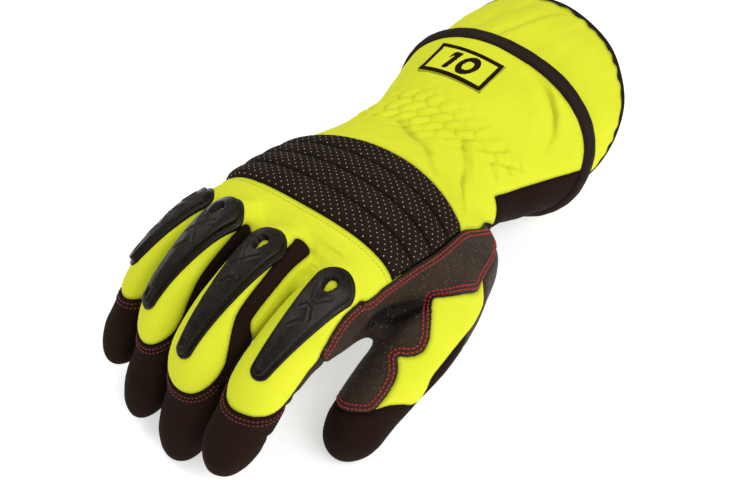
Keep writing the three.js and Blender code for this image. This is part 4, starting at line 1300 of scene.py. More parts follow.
@dataclass
class KnuckleGuard:
    """Drop-shaped rubber guard over a knuckle, with a raised middle and a hole near its wide end."""

    limb: Limb  # finger that it lies on
    shift: float  # place of its middle across the finger, mm
    flange: float = 1.45  # height of its rim, mm
    height: float = 3.9  # height of its raised middle, mm
    crown: float = 0.45  # part of that height that rises towards the middle, mm
    inset: float = 2.0  # width of the rim, mm
    wide_end: float = 10.6  # radius of its wide end, mm
    narrow_end: float = 4.9  # radius of its narrow end, mm
    depth: float = 1.2  # depth of its underside below the cloth's surface, mm
    ROWS: int = 150  # points along it
    COLUMNS: int = 49  # points across it

    def outline(self, along: Array) -> Array:
        """Half width of the drop at lengths from its wide end: two circles with straight sides."""
        first, last = self.wide_end, along[-1] - self.narrow_end
        slant = (self.wide_end - self.narrow_end) / (last - first)
        level = math.sqrt(1.0 - slant**2)
        start, end = first + self.wide_end * slant, last + self.narrow_end * slant
        wide = np.sqrt(np.maximum(self.wide_end**2 - (along - first) ** 2, 0.0))
        narrow = np.sqrt(np.maximum(self.narrow_end**2 - (along - last) ** 2, 0.0))
        side = np.interp(along, (start, end), (self.wide_end * level, self.narrow_end * level))
        return np.where(along < start, wide, np.where(along > end, narrow, side))

    def flat(self) -> tuple[Array, Array, Array]:
        """Grid over the guard: joint numbers, places across and lengths along in mm."""
        fine = np.linspace(*GUARD_SPAN, 200)
        length = lengths(np.array([self.limb.point(float(place), self.shift) for place in fine]))
        turn = np.linspace(0.02, np.pi - 0.02, self.ROWS)
        along = length[-1] * (1 - np.cos(turn)) / 2
        half = np.maximum(self.outline(along), 0.15)
        share = np.linspace(-1, 1, self.COLUMNS)
        share = 0.55 * np.sin(share * np.pi / 2) + 0.45 * share
        return np.interp(along, length, fine), half[:, None] * share[None, :], along

    def heights(self, across: Array, along: Array) -> Array:
        """Height of the guard over the cloth at the points of its grid."""
        flat = np.column_stack([np.repeat(along, self.COLUMNS), across.ravel()])
        length, side = flat.T
        border = np.vstack([np.column_stack([along, across[:, end]]) for end in (0, -1)])
        apart = np.array([np.sqrt(((border - place) ** 2).sum(axis=1).min()) for place in flat])
        rim = self.flange * np.sqrt(smooth_step(-0.2, 0.8, apart))
        groove = 0.35 * bell(apart - self.inset + 0.3, 0.3)
        step = smooth_step(self.inset - 0.1, self.inset + 0.9, apart)
        crown = self.crown * smooth_step(self.inset + 0.5, self.inset + 7.0, apart)
        height = rim - groove + step * (self.height - self.flange - self.crown) + crown
        inside = smooth_step(self.inset + 0.9, self.inset + 1.6, apart)
        for start, end in np.array(GUARD_LINES):
            away, _ = beside_line(flat, start, end)
            height += inside * (0.22 * bell(away - 0.9, 0.5) - 0.5 * bell(away, 0.45))
        place, half_width, half_length = GUARD_NOTCH
        notch = np.maximum(np.abs(side) / half_width, np.abs(length - along[-1] + place) / half_length)
        height -= 0.8 * inside * (1 - smooth_step(0.7, 1.1, notch))
        half = np.interp(length, *np.array(GUARD_HOLE, float).T)
        opened = smooth_step(-0.2, 0.2, half - np.abs(side) - 0.2) * (half > 0.01)
        lip = 0.3 * bell(np.abs(side) - half - 0.8, 0.5) * (half > 0.01)
        return (height + lip) * (1 - opened) - self.depth * 0.7 * opened

    def build(self, form: GloveForm, material: Material) -> None:
        """Builds the guard in its rubber on the glove's form."""
        at, across, along = self.flat()
        base = form.settle(np.array([
            self.limb.point(float(place), float(self.shift + side))
            for place, row in zip(at, across)
            for side in row
        ]))
        normals = form.normal(base)
        height = self.heights(across, along)
        points = np.vstack([base + normals * height[:, None], base - normals * self.depth])
        name = f"{self.limb.name}_guard"
        piece = mesh_object(name, points, turned_out(points, two_sided(*across.shape)), material)
        edge_values(piece, np.concatenate([np.maximum(height, 0.0), np.zeros(len(base))]))
        tie(piece, name, "rubber")


HEM_PLACE = 177.4
HEM_SECTION = (-7.9, -3.8, 60.1, 41.1, 41.1, 2.2, 0, 0.28, 0.07)
HEM_ROWS: Table = ((HEM_PLACE - 1, *HEM_SECTION), (HEM_PLACE + 1, *HEM_SECTION))
GAUNTLET_ROWS: Table = (
    (171.5, -7.9, -3.8, 55.6, 36.6, 36.6, 2.2, 0, 0.28, 0.07),
    (178.2, -7.9, -3.8, 56.1, 37.1, 37, 2.2, 0, 0.28, 0.07),
    (184, -8.4, -3.2, 58.6, 39.8, 37.2, 2.2, 0, 0.4, 0.03),
    (193, -10, -1.8, 61, 41, 37, 2.2, 0, 0.63, -0.05),
    (206, -10.5, -0.6, 62.3, 38.6, 36.8, 2.2, 0, 0.9, -0.14),
)


# From the number and the angle of a point round the cuff, and its turn round the roll
Profile = Callable[[int, float, float], tuple[float, float]]


@dataclass
class Cuff:
    """Rolled hem, gauntlet and the binding round its rim."""

    form: GloveForm
    yellow: Material  # of the gauntlet
    black: Material  # of the hem and the binding
    hem_radius: float = 3.1  # half thickness of the rolled hem, mm
    hem_spread: float = 0.6  # how much wider than thick it is, to each side, mm
    binding: tuple[float, float] = (3.2, 2.4)  # width and thickness of the rim's binding, mm
    SIDES: int = 260  # points round the cuff
    ROWS: int = 46  # points along the gauntlet
    ROLL_EDGE: float = 6.0  # value of "edge" well away from a seam, mm
    WAVE: float = 0.22  # height of the gauntlet's broad waves, mm

    def build(self) -> None:
        """Builds the three pieces."""
        self.roll("hem_roll", HEM_ROWS, HEM_PLACE, 18, self.hem)
        self.gauntlet()
        self.roll("rim_binding", GAUNTLET_ROWS, GAUNTLET_ROWS[-1][0], 14, self.rim)

    def angles(self) -> list[float]:
        """Angles round the cuff."""
        return (np.arange(self.SIDES) * 2 * np.pi / self.SIDES).tolist()

    def broad(self, angle: float) -> float:
        """Broad wave of the gauntlet's cloth at an angle."""
        return math.sin(5 * angle + 0.8) + 0.6 * math.sin(11 * angle + 2.0)

    def roll(self, name: str, rows: Table, place: float, sides: int, profile: Profile) -> None:
        """Builds a closed black roll round the cuff.

        Args:
            name: Name of the piece and of the node that it dresses.
            rows: Sections whose outline it follows.
            place: Place of its middle along the sections.
            sides: Points round the roll.
            profile: Its reach outwards and along the cuff.
        """
        section, points = SectionForm(rows, cap=1.0), []
        for number, angle in enumerate(self.angles()):
            for turn in (np.arange(sides) * 2 * np.pi / sides).tolist():
                outward, beyond = profile(number, angle, turn)
                points.append(section.point(place, angle, outward) + (0.0, beyond, 0.0))
        points = above_floor(self.form, np.array(points))
        grid = np.arange(len(points)).reshape(self.SIDES, sides)
        faces = turned_out(points, tube_faces(grid, closed=True))
        piece = mesh_object(name, points, faces, self.black)
        edge_values(piece, np.full(len(points), self.ROLL_EDGE))
        tie(piece, name, "black_cloth")

    def hem(self, number: int, angle: float, turn: float) -> tuple[float, float]:
        """Profile of the rolled hem, a little lumpy."""
        radius = self.hem_radius + 0.07 * math.sin(number * 0.31) + 0.05 * math.sin(number * 0.83 + 1.0)
        drift = 0.35 * math.sin(3 * angle + 0.6) + 0.1 * math.sin(7 * angle)
        return radius * math.cos(turn), (radius + self.hem_spread) * math.sin(turn) + drift

    def rim(self, number: int, angle: float, turn: float) -> tuple[float, float]:
        """Profile of the rim's narrow binding, its inner edge wavy from the stitching."""
        width, thickness = self.binding
        beyond = width / 2 + (width / 2 + 0.3) * math.sin(turn)
        if math.sin(turn) < -0.3:
            beyond += 0.2 * math.sin(number * 0.9) + 0.12 * math.sin(number * 0.37 + 0.5)
        return thickness / 2 * math.cos(turn) - WALL / 2 + self.WAVE * self.broad(angle), beyond

    def gauntlet(self) -> None:
        """Builds the cloth that flares out of the hem, with gathers near its rim."""
        section = SectionForm(GAUNTLET_ROWS, cap=1.0)
        share = np.linspace(0.0, 1.0, self.ROWS)
        start, end = GAUNTLET_ROWS[0][0], GAUNTLET_ROWS[-1][0]
        outer, inner = [], []
        for part, place in zip(share, start + (end - start) * share):
            for angle in self.angles():
                wave = math.sin(38 * angle + 1.7 * math.sin(5 * angle)) * (0.6 + 0.4 * math.sin(9 * angle))
                grow = 0.45 * part**2 * wave + self.WAVE * part * self.broad(angle)
                outer.append(section.point(float(place), angle, grow))
                inner.append(section.point(float(place), angle, grow - WALL))
        outer, inner = np.array(outer), np.array(inner)
        soft = 0.95 * fractal(outer, 15.0, 21)
        above = smooth_step(0.0, 15.0, outer[:, 2])
        for at, lean, width, height in GAUNTLET_FOLDS:
            line = at + lean * (outer[:, 1] - end)
            soft += height * above * bell(outer[:, 0] - line, width)
        soft *= np.repeat(np.sin(np.pi * share) ** 0.5, self.SIDES)
        moved = normalised(outer - inner) * soft[:, None]
        points = above_floor(self.form, np.vstack([outer + moved, inner + moved]))
        grid = np.arange(len(points)).reshape(2, self.ROWS, self.SIDES)
        near, far = tube_faces(grid[:, 0])[:, ::-1], tube_faces(grid[:, -1])
        faces = turned_out(points, np.vstack([tube_faces(grid[0]), tube_faces(grid[1])[:, ::-1], near, far]))
        piece = mesh_object("gauntlet", points, faces, self.yellow)
        edge_values(piece, np.tile(np.repeat((1 - share) * 34.0, self.SIDES), 2))
        tie(piece, "gauntlet", "yellow_cloth")


@dataclass
class LabelPatch:
    """Sewn-on patch with a raised border and a plain size numeral."""

    middle: tuple[float, float] = (-24.3, 164.8)  # seen from above, mm
    length: float = 41.0  # size across the cuff, mm
    width: float = 20.5  # size along the cuff, mm
    turn: float = 2.5  # seen from above, degrees
    thickness: float = 1.3  # height above the cloth, mm
    depth: float = 0.9  # of its underside below the cloth, mm
    border: float = 2.0  # width of its border, mm
    relief: float = 0.3  # height of its border and numeral, mm
    stroke: float = 1.25  # half width of the numeral's strokes, in its own scale
    SPACING: float = 0.34  # between its points, mm
    SCALE: float = 1.2  # of the numeral
    START: float = 34.0  # height from which its points sink on to the cuff, mm

    def numeral(self, across: Array, along: Array) -> Array:
        """Distance to a plain numeral ten, negative inside its strokes."""
        across, along = across / self.SCALE, along / self.SCALE
        lean = across - 0.18 * along
        upright = np.maximum(np.abs(lean + 5.2) - self.stroke, np.abs(along) - 5.0)
        flag = np.abs(lean + 6.9 - 0.9 * (along - 3.9)) - self.stroke * 1.2
        flag = np.max([flag, lean + 5.2, -(lean + 8.2), np.abs(along - 3.0) - 1.9], axis=0)
        ring = np.abs(np.sqrt(((lean - 3.4) / 3.6) ** 2 + (along / 4.0) ** 2) - 1.0) * 3.7 - self.stroke
        return np.min([upright, flag, ring], axis=0)

    def build(self, form: GloveForm, cloth: Material, ink: Material) -> None:
        """Builds the patch on the cuff.

        Args:
            form: Form that it lies on.
            cloth: Material of its ground.
            ink: Material of its border and numeral.
        """
        half = np.array([self.length, self.width]) / 2
        columns, rows = (int(2 * size / self.SPACING) for size in half)
        grid = np.meshgrid(np.linspace(-half[0], half[0], columns), np.linspace(-half[1], half[1], rows))
        across, along = (places.ravel() for places in grid)
        cosine, sine = math.cos(math.radians(self.turn)), math.sin(math.radians(self.turn))
        x = self.middle[0] + across * cosine - along * sine
        y = self.middle[1] + across * sine + along * cosine
        base = np.column_stack([x, y, np.full(len(x), self.START)])
        for _ in range(6):
            base[:, 2] -= np.clip(form.distance(base), -4.0, 4.0)
        normals = form.normal(base)
        edge = np.minimum(half[0] - np.abs(across), half[1] - np.abs(along))
        numeral = self.numeral(across, along)
        mark = (edge < self.border + 0.45) & (edge > 0.45) | (numeral < 0)
        frame = smooth_step(0.0, 0.5, edge - 0.3) * (1 - smooth_step(-0.3, 0.3, edge - self.border - 0.45))
        raised = self.relief * (frame + 1 - smooth_step(-0.25, 0.25, numeral))
        raised += 0.5 * smooth_step(12.0, 21.0, np.abs(across)) * smooth_step(5.0, 10.5, np.abs(along))
        raised += self.thickness * np.sqrt(smooth_step(-0.15, 0.6, edge)) + 0.12 * fractal(base, 7.0, 5)
        points = np.vstack([base + normals * raised[:, None], base - normals * self.depth])
        faces = turned_out(points, two_sided(rows, columns))
        piece = mesh_object("label_patch", points, faces, cloth)
        piece.data.materials.append(ink)
        marked = np.concatenate([mark, np.zeros(len(mark), bool)])[faces].sum(axis=1) >= 2
        piece.data.polygons.foreach_set("material_index", marked.astype(np.int32))
        edge_values(piece, np.concatenate([edge, edge]))
        tie(piece, "label_patch", "black_cloth")


# A stitch: place along it from -1 to 1, and share of the thread's thickness
THREAD_PROFILE: Table = ((-1.0, 0.05), (-0.8, 0.72), (0.0, 1.0), (0.8, 0.72), (1.0, 0.05))


@dataclass
class StitchRow:
    """Row of stitches at a distance from a seam, on one panel."""

    name: str
    panel: Panel  # that is sewn
    beside: tuple[Panel, ...]  # panels whose seam with it is followed
    distances: tuple[float, ...]  # of each row from the seam, mm
    pitch: float = 2.1  # length of a stitch with the gap after it, mm
    stitch: float = 1.5  # length of a stitch, mm
    radius: float = 0.4  # half thickness of the thread, mm
    every_from: float = 1000.0  # place along the hand behind which every edge is followed, mm
    SIDES: int = 6  # of the thread

    def seam_points(self, shell: Shell) -> Array:
        """Points of the seam on the skin."""
        edge = shell.made[self.panel].rim()
        followed = np.concatenate([shell.made[panel].rim() for panel in self.beside])
        points = shell.skin.points[edge]
        return points[np.isin(edge, followed) | (points[:, 1] > self.every_from)]

    def lines(self, shell: Shell) -> list[tuple[Array, Array]]:
        """Lines at each distance from the seam: their points and the panel's normals there."""
        own = shell.made[self.panel]
        apart = nearest_distance(shell.skin.points[own.used], self.seam_points(shell))
        normals = point_normals(own.outer, own.triangles)
        surface = (own.outer, normals, own.triangles)
        return [line for distance in self.distances for line in contour(*surface, apart - distance)]

    def build(self, shell: Shell, material: Material) -> None:
        """Builds all the stitches as one piece."""
        place, thick = np.array(THREAD_PROFILE).T
        around = np.arange(self.SIDES) * 2 * np.pi / self.SIDES
        caps = np.array([[0, 5, 4, 3], [0, 3, 2, 1], [24, 25, 26, 27], [24, 27, 28, 29]])
        rings = np.arange(len(place) * self.SIDES).reshape(-1, self.SIDES)
        template = np.vstack([tube_faces(rings), caps])
        points, faces = [], []
        for line, normals in self.lines(shell):
            length = lengths(line)
            for start in np.arange(0.3, length[-1] - self.stitch, self.pitch):
                spots = start + self.stitch * (place + 1) / 2
                centre, outward = (
                    np.column_stack([np.interp(spots, length, column) for column in rows.T])
                    for rows in (line, normals)
                )
                outward = normalised(outward)
                across = normalised(np.cross(outward, normalised((centre[-1] - centre[0])[None])))
                lifted = centre + outward * (0.12 - 0.28 * (np.abs(place[:, None]) ** 3))
                sideways = np.cos(around)[None, :, None] * across[:, None]
                ring = sideways + np.sin(around)[None, :, None] * outward[:, None]
                ring = lifted[:, None] + self.radius * thick[:, None, None] * ring
                faces.append(template + len(points) * rings.size)
                points.append(ring.reshape(-1, 3))
        piece = mesh_object(self.name, np.vstack(points), np.vstack(faces), material)
        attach(piece, "root")
        LOG.info("built %s with %d stitches", self.name, len(points))


MIN_CHAIN = 12  # points in the shortest line that is sewn


def contour(points: Array, normals: Array, triangles: Array, level: Array) -> list[tuple[Array, Array]]:
    """Lines where a value is zero on a surface.

    Args:
        points: Points of the surface.
        normals: Normals at them.
        triangles: Its triangles.
        level: Value at each point.

    Returns:
        For each line its points and the normals there.
    """
    level = np.where(np.abs(level) < 1e-6, 1e-6, level)
    sign = level > 0
    mixed = triangles[sign[triangles].any(axis=1) & ~sign[triangles].all(axis=1)]
    links: dict[tuple[int, int], list[tuple[int, int]]] = {}
    for a, b, c in mixed.tolist():
        sides = ((a, b), (b, c), (c, a))
        first, second = ((min(side), max(side)) for side in sides if sign[side[0]] != sign[side[1]])
        links.setdefault(first, []).append(second)
        links.setdefault(second, []).append(first)
    lines = []
    seen: set[tuple[int, int]] = set()
    ends = [key for key, near in links.items() if len(near) == 1]
    for start in [*ends, *links]:
        chain = []
        after = [] if start in seen else [start]
        while after:
            chain.append(after[0])
            seen.add(after[0])
            after = [key for key in links[after[0]] if key not in seen]
        if len(chain) < MIN_CHAIN:
            continue
        if chain[0] in links[chain[-1]]:
            chain.append(chain[0])
        start, end = np.array(chain).T
        share = (level[start] / (level[start] - level[end]))[:, None]
        line, outward = (rows[start] * (1 - share) + rows[end] * share for rows in (points, normals))
        for _ in range(4):
            line[1:-1] = (line[:-2] + 2 * line[1:-1] + line[2:]) / 4
        lines.append((line, normalised(outward)))
    return lines


@dataclass
class Graph:
    """Nodes of a material or group, added and joined in a few words."""

    tree: NodeTree

    def put(self, socket: Socket, value: object) -> None:
        """Joins a socket to another one, or sets its value."""
        if isinstance(value, Socket):
            self.tree.links.new(value, socket)
        else:
            socket.default_value = value

    def wire(self, node: Node, **inputs: object) -> Node:
        """Joins or sets inputs of a node, underscores standing for blanks in their names."""
        for key, value in inputs.items():
            self.put(node.inputs[key.replace("_", " ")], value)
        return node

    def node(self, kind: str, settings: dict[str, object] | None = None, **inputs: object) -> Node:
        """Adds a shader node of a kind, with its options and the values or sockets for its inputs."""
        node = self.tree.nodes.new(f"ShaderNode{kind}")
        for key, value in (settings or {}).items():
            setattr(node, key, value)
        return self.wire(node, **inputs)

    def group(self, tree: NodeTree, **inputs: object) -> bpy.types.NodeOutputs:
        """Outputs of a node group that is placed with its own values."""
        return self.node("Group", {"node_tree": tree}, **inputs).outputs

    def noise(self, place: Socket, scale: object, detail: float = 2.0) -> Socket:
        """Value of a noise."""
        return self.node("TexNoise", Vector=place, Scale=scale, Detail=detail).outputs["Fac"]

    def math(self, operation: str, first: object, second: object = 0.0) -> Socket:
        """Result of a sum or other operation on two values."""
        node = self.node("Math", {"operation": operation})
        self.put(node.inputs[0], first)
        self.put(node.inputs[1], second)
        return node.outputs[0]

    def ramp(self, value: object, low: float, high: float, start: float = 0.0, end: float = 1.0) -> Socket:
        """A value carried smoothly from one range to another."""
        ends = {"From_Min": low, "From_Max": high, "To_Min": start, "To_Max": end}
        node = self.node("MapRange", {"interpolation_type": "SMOOTHSTEP"}, Value=value, **ends)
        return node.outputs["Result"]

    def mix(self, share: object, first: object, second: object) -> Socket:
        """Colour between two colours."""
        node = self.node("Mix", {"data_type": "RGBA"}, Factor=share)
        self.put(node.inputs[6], first)
        self.put(node.inputs[7], second)
        return node.outputs[2]

    def place(self) -> Socket:
        """Place on the piece, in metres."""
        return self.node("TexCoord").outputs["Object"]

    def edge(self) -> Socket:
        """Distance of the surface from the panel's edge, mm, lowered in creases where shade is painted."""
        return self.node("Attribute", {"attribute_name": "edge"}).outputs["Fac"]

    def bump(self, height: Socket, strength: float, distance: float) -> Socket:
        """Normal that a height bends, its distance in mm."""
        return self.node("Bump", Height=height, Strength=strength, Distance=distance * MM).outputs["Normal"]


def new_group(name: str, inputs: str, outputs: str) -> tuple[NodeTree, Graph, dict[str, Socket], Node]:
    """Starts a node group.

    Args:
        name: Its name.
        inputs: Names of its inputs, a comma between two, those of colours with "Colour" or "Shade" in them.
        outputs: Names of its outputs in the same way.

    Returns:
        The group, its graph, its input sockets by name and its output node.
    """
    group = bpy.data.node_groups.new(name, "ShaderNodeTree")
    for way, labels in (("INPUT", inputs), ("OUTPUT", outputs)):
        for label in labels.split(", "):
            kind = "NodeSocketColor" if "Colour" in label or "Shade" in label else "NodeSocketFloat"
            group.interface.new_socket(label, in_out=way, socket_type=kind)
    start, end = group.nodes.new("NodeGroupInput"), group.nodes.new("NodeGroupOutput")
    return group, Graph(group), {socket.name: socket for socket in start.outputs if socket.name}, end


def tone_group() -> NodeTree:
    """Group that varies a colour over the cloth and darkens it towards the seams and, as painted shade, in
    creases.
    """
    values = "Colour, Shade, Seam Colour, Lump Scale, Amount, Seam Amount, Seam Width, Edge"
    group, graph, inputs, end = new_group("cloth_tone", values, "Colour, Mask")
    place, scale, combine = graph.place(), inputs["Lump Scale"], graph.math
    lumps = graph.ramp(graph.noise(place, scale, 4.0), 0.35, 0.68)
    threads = graph.ramp(graph.noise(place, combine("MULTIPLY", scale, 22.0), 3.0), 0.3, 0.7)
    both = combine("ADD", combine("MULTIPLY", lumps, 0.6), combine("MULTIPLY", threads, 0.4))
    share = combine("MULTIPLY", both, inputs["Amount"])
    near = combine("SUBTRACT", 1.0, combine("DIVIDE", inputs["Edge"], inputs["Seam Width"]))
    seam = combine("MULTIPLY", combine("POWER", combine("MAXIMUM", near, 0.0), 1.6), inputs["Seam Amount"])
    varied = graph.mix(share, inputs["Colour"], inputs["Shade"])
    graph.wire(end, Colour=graph.mix(seam, varied, inputs["Seam Colour"]), Mask=share)
    return group


def weave_group() -> NodeTree:
    """Group with the height of a fine close weave and of small creases."""
    group, graph, inputs, end = new_group("fine_weave", "Thread Scale, Crease Scale, Crease Share", "Height")
    place = graph.place()
    threads = graph.node("TexVoronoi", Vector=place, Scale=inputs["Thread Scale"])
    slant = graph.node("Mapping", Vector=place, Rotation=(0.4, 0.3, 0.7), Scale=(1.0, 0.35, 1.0))
    creases = graph.noise(slant.outputs["Vector"], inputs["Crease Scale"], 5.0)
    fold = graph.math("MULTIPLY", creases, inputs["Crease Share"])
    left = graph.math("SUBTRACT", 1.0, inputs["Crease Share"])
    knit = graph.math("MULTIPLY", threads.outputs["Distance"], left)
    graph.wire(end, Height=graph.math("ADD", knit, fold))
    return group


def grain_group() -> NodeTree:
    """Group with the cells, pores and light specks of leather or moulded rubber."""
    group, graph, inputs, end = new_group("hide_grain", "Cell Scale, Speck Size", "Height, Specks")
    place, scale = graph.place(), inputs["Cell Scale"]
    cells = graph.node("TexVoronoi", {"feature": "DISTANCE_TO_EDGE"}, Vector=place, Scale=scale)
    edges = graph.ramp(cells.outputs["Distance"], 0.0, 0.14)
    fine = graph.noise(place, graph.math("MULTIPLY", scale, 2.4))
    height = graph.math("ADD", edges, graph.math("MULTIPLY", fine, 0.45))
    specks = graph.node("TexVoronoi", Vector=place, Scale=graph.math("MULTIPLY", scale, 0.8))
    spot = graph.math("LESS_THAN", specks.outputs["Distance"], inputs["Speck Size"])
    graph.wire(end, Height=height, Specks=spot)
    return group


@dataclass
class Groups:
    """Node groups that several finishes share, each built once."""

    tone: NodeTree = field(default_factory=tone_group)
    weave: NodeTree = field(default_factory=weave_group)
    grain: NodeTree = field(default_factory=grain_group)


Colour = tuple[float, float, float, float]


def paint(red: float, green: float, blue: float) -> Colour:
    """A colour without transparency."""
    return (red, green, blue, 1.0)


def new_material(name: str, roughness: float, sheen: float, specular: float) -> tuple[Material, Graph, Node]:
    """Starts a material with its roughness, its fibres' sheen and the strength of its reflections."""
    material = bpy.data.materials.new(name)
    material.use_nodes = True
    graph = Graph(material.node_tree)
    shader = graph.tree.nodes["Principled BSDF"]
    graph.wire(shader, Roughness=roughness, Sheen_Weight=sheen, Sheen_Roughness=0.45)
    graph.wire(shader, Specular_IOR_Level=specular)
    return material, graph, shader


@dataclass(frozen=True)
class ClothFinish:
    """Close-woven or brushed cloth."""

    name: str
    colour: Colour
    shade: Colour  # of its darker places
    seam: Colour  # in the seams, and as painted shade in creases where the edge value falls
    amount: float = 0.5  # how much it varies
    seam_amount: float = 0.6  # how dark the seams are
    roughness: float = 0.85
    sheen: float = 0.1  # weight of the fibres' sheen
    specular: float = 0.1  # strength of the reflections
    relief: float = 0.48  # height of the weave's bump, mm
    threads: float = 1500.0  # in a metre

    def make(self, groups: Groups) -> Material:
        """Builds the material."""
        material, graph, shader = new_material(self.name, self.roughness, self.sheen, self.specular)
        tone = graph.group(
            groups.tone, Colour=self.colour, Shade=self.shade, Seam_Colour=self.seam, Lump_Scale=38.0,
            Amount=self.amount, Seam_Amount=self.seam_amount, Seam_Width=2.2, Edge=graph.edge(),
        )
        weave = graph.group(groups.weave, Thread_Scale=self.threads, Crease_Scale=160.0, Crease_Share=0.5)
        rough = graph.ramp(tone["Mask"], 0.0, 1.0, self.roughness, 0.96)
        normal = graph.bump(weave["Height"], 0.5, self.relief)
        graph.wire(shader, Base_Color=tone["Colour"], Normal=normal, Roughness=rough)
        return material


@dataclass(frozen=True)
class LeatherFinish:
    """Dark grained leather with light specks of wear."""

    name: str = "dark_leather"
    colour: Colour = paint(0.024, 0.0145, 0.0085)
    shade: Colour = paint(0.052, 0.034, 0.021)  # of its lighter places
    # seam colour, also painted as shade into the creases of the thumb's saddle
    seam: Colour = paint(0.006, 0.004, 0.003)
    speck: Colour = paint(0.16, 0.125, 0.09)

    def make(self, groups: Groups) -> Material:
        """Builds the material."""
        material, graph, shader = new_material(self.name, 0.6, 0.0, 0.16)
        tone = graph.group(
            groups.tone, Colour=self.colour, Shade=self.shade, Seam_Colour=self.seam, Lump_Scale=60.0,
            Amount=0.85, Seam_Amount=0.85, Seam_Width=1.2, Edge=graph.edge(),
        )
        grain = graph.group(groups.grain, Cell_Scale=1000.0, Speck_Size=0.26)
        patches = graph.ramp(graph.noise(graph.place(), 420.0), 0.46, 0.62)
        worn = graph.math("MULTIPLY", graph.math("MULTIPLY", grain["Specks"], patches), 0.75)
        colour = graph.mix(worn, tone["Colour"], self.speck)
        rough = graph.ramp(grain["Height"], 0.1, 1.3, 0.72, 0.52)
        graph.wire(shader, Base_Color=colour, Normal=graph.bump(grain["Height"], 0.6, 0.25), Roughness=rough)
        return material


@dataclass(frozen=True)
class BandFinish:
    """Dark spacer mesh with rows of small light dots, darker in the sewn channels."""

    name: str = "dotted_mesh"
    colour: Colour = paint(0.014, 0.0085, 0.005)
    shade: Colour = paint(0.025, 0.016, 0.01)
    seam: Colour = paint(0.002, 0.0012, 0.0008)
    dot: Colour = paint(0.66, 0.6, 0.52)
    spacing: float = 2.75  # between neighbouring dots, mm
    radius: float = 0.24  # of a dot, mm

    def make(self, groups: Groups) -> Material:
        """Builds the material."""
        material, graph, shader = new_material(self.name, 0.85, 0.0, 0.06)
        edge = graph.edge()
        tone = graph.group(
            groups.tone, Colour=self.colour, Shade=self.shade, Seam_Colour=self.seam, Lump_Scale=70.0,
            Amount=0.7, Seam_Amount=1.0, Seam_Width=2.0, Edge=edge,
        )
        place = graph.node("UVMap", {"uv_map": "cloth"}).outputs["UV"]
        parts = graph.node("SeparateXYZ", Vector=place).outputs
        squares = 0.0
        for operation in ("ADD", "SUBTRACT"):
            across = graph.math(operation, parts["X"], parts["Y"])
            line = graph.math("DIVIDE", across, self.spacing * math.sqrt(2.0))
            off = graph.math("SUBTRACT", graph.math("FRACT", line), 0.5)
            squares = graph.math("ADD", squares, graph.math("MULTIPLY", off, off))
        size = self.radius / self.spacing
        dots = graph.ramp(graph.math("SQRT", squares), size * 0.75, size * 1.25, 1.0, 0.0)
        kept = graph.math("MULTIPLY", dots, graph.ramp(edge, 0.6, 1.4))
        weave = graph.group(groups.weave, Thread_Scale=1700.0, Crease_Scale=200.0, Crease_Share=0.35)
        normal = graph.bump(graph.math("ADD", weave["Height"], kept), 0.6, 0.3)
        colour = graph.mix(graph.math("MULTIPLY", kept, 0.85), tone["Colour"], self.dot)
        graph.wire(shader, Base_Color=colour, Normal=normal)
        return material


@dataclass(frozen=True)
class RubberFinish:
    """Moulded dark rubber, rubbed lighter on its high places."""

    name: str = "guard_rubber"
    colour: Colour = paint(0.0065, 0.0036, 0.002)
    worn: Colour = paint(0.02, 0.0125, 0.0075)

    def make(self, groups: Groups) -> Material:
        """Builds the material."""
        material, graph, shader = new_material(self.name, 0.3, 0.0, 0.2)
        grain = graph.group(groups.grain, Cell_Scale=1400.0, Speck_Size=0.2)
        rubbed = graph.noise(graph.place(), 220.0, 4.0)
        high = graph.math("MULTIPLY", graph.ramp(graph.edge(), 1.2, 4.4), graph.ramp(rubbed, 0.3, 0.7))
        colour = graph.mix(graph.math("MULTIPLY", high, 0.5), self.colour, self.worn)
        rough = graph.ramp(rubbed, 0.3, 0.7, 0.22, 0.42)
        graph.wire(shader, Base_Color=colour, Normal=graph.bump(grain["Height"], 0.3, 0.1), Roughness=rough)
        return material


@dataclass(frozen=True)
class ThreadFinish:
    """Twisted sewing thread."""

    name: str
    colour: Colour
    shade: Colour

    def make(self, groups: Groups) -> Material:
        """Builds the material."""
        material, graph, shader = new_material(self.name, 0.6, 0.1, 0.35)
        twist = graph.ramp(graph.noise(graph.place(), 1100.0), 0.35, 0.65)
        weave = graph.group(groups.weave, Thread_Scale=4000.0, Crease_Scale=900.0, Crease_Share=0.5)
        colour = graph.mix(twist, self.colour, self.shade)
        graph.wire(shader, Base_Color=colour, Normal=graph.bump(weave["Height"], 0.4, 0.1))
        return material


YELLOW = ClothFinish(
    "safety_yellow_cloth", paint(0.75, 0.785, 0.035), paint(0.63, 0.68, 0.024), paint(0.21, 0.22, 0.012),
    amount=0.45, seam_amount=0.7, sheen=0.0, relief=0.28, threads=1700.0,
)
BLACK = ClothFinish(
    "black_cloth", paint(0.0125, 0.0056, 0.0034), paint(0.021, 0.0105, 0.0068), paint(0.004, 0.002, 0.0015),
    amount=0.8, seam_amount=0.8, sheen=0.01, specular=0.06,
)
HEM = ClothFinish(
    "rolled_black_cloth", paint(0.0125, 0.0062, 0.004), paint(0.021, 0.0115, 0.008), BLACK.seam,
    amount=0.7, roughness=0.48, sheen=0.0, specular=0.14, relief=0.4,
)
RED_THREAD = ThreadFinish("red_thread", paint(0.42, 0.018, 0.014), paint(0.3, 0.01, 0.01))
DULL_RED_THREAD = ThreadFinish("dull_red_thread", paint(0.2, 0.016, 0.012), paint(0.11, 0.01, 0.008))
YELLOW_THREAD = ThreadFinish("yellow_thread", paint(0.42, 0.46, 0.01), paint(0.3, 0.34, 0.01))


@dataclass(frozen=True)
class Light:
    """Square light that faces the glove."""

    name: str
    way: tuple[float, float, float]  # to it from the glove: towards the camera, to its right and up
    distance: float  # m
    size: float  # m
    power: float  # W


LIGHTS = (Light("key", (0.45, -0.5, 0.9), 1.3, 0.8, 6.2), Light("front", (0.9, 0.45, 0.1), 1.6, 1.1, 16.0))


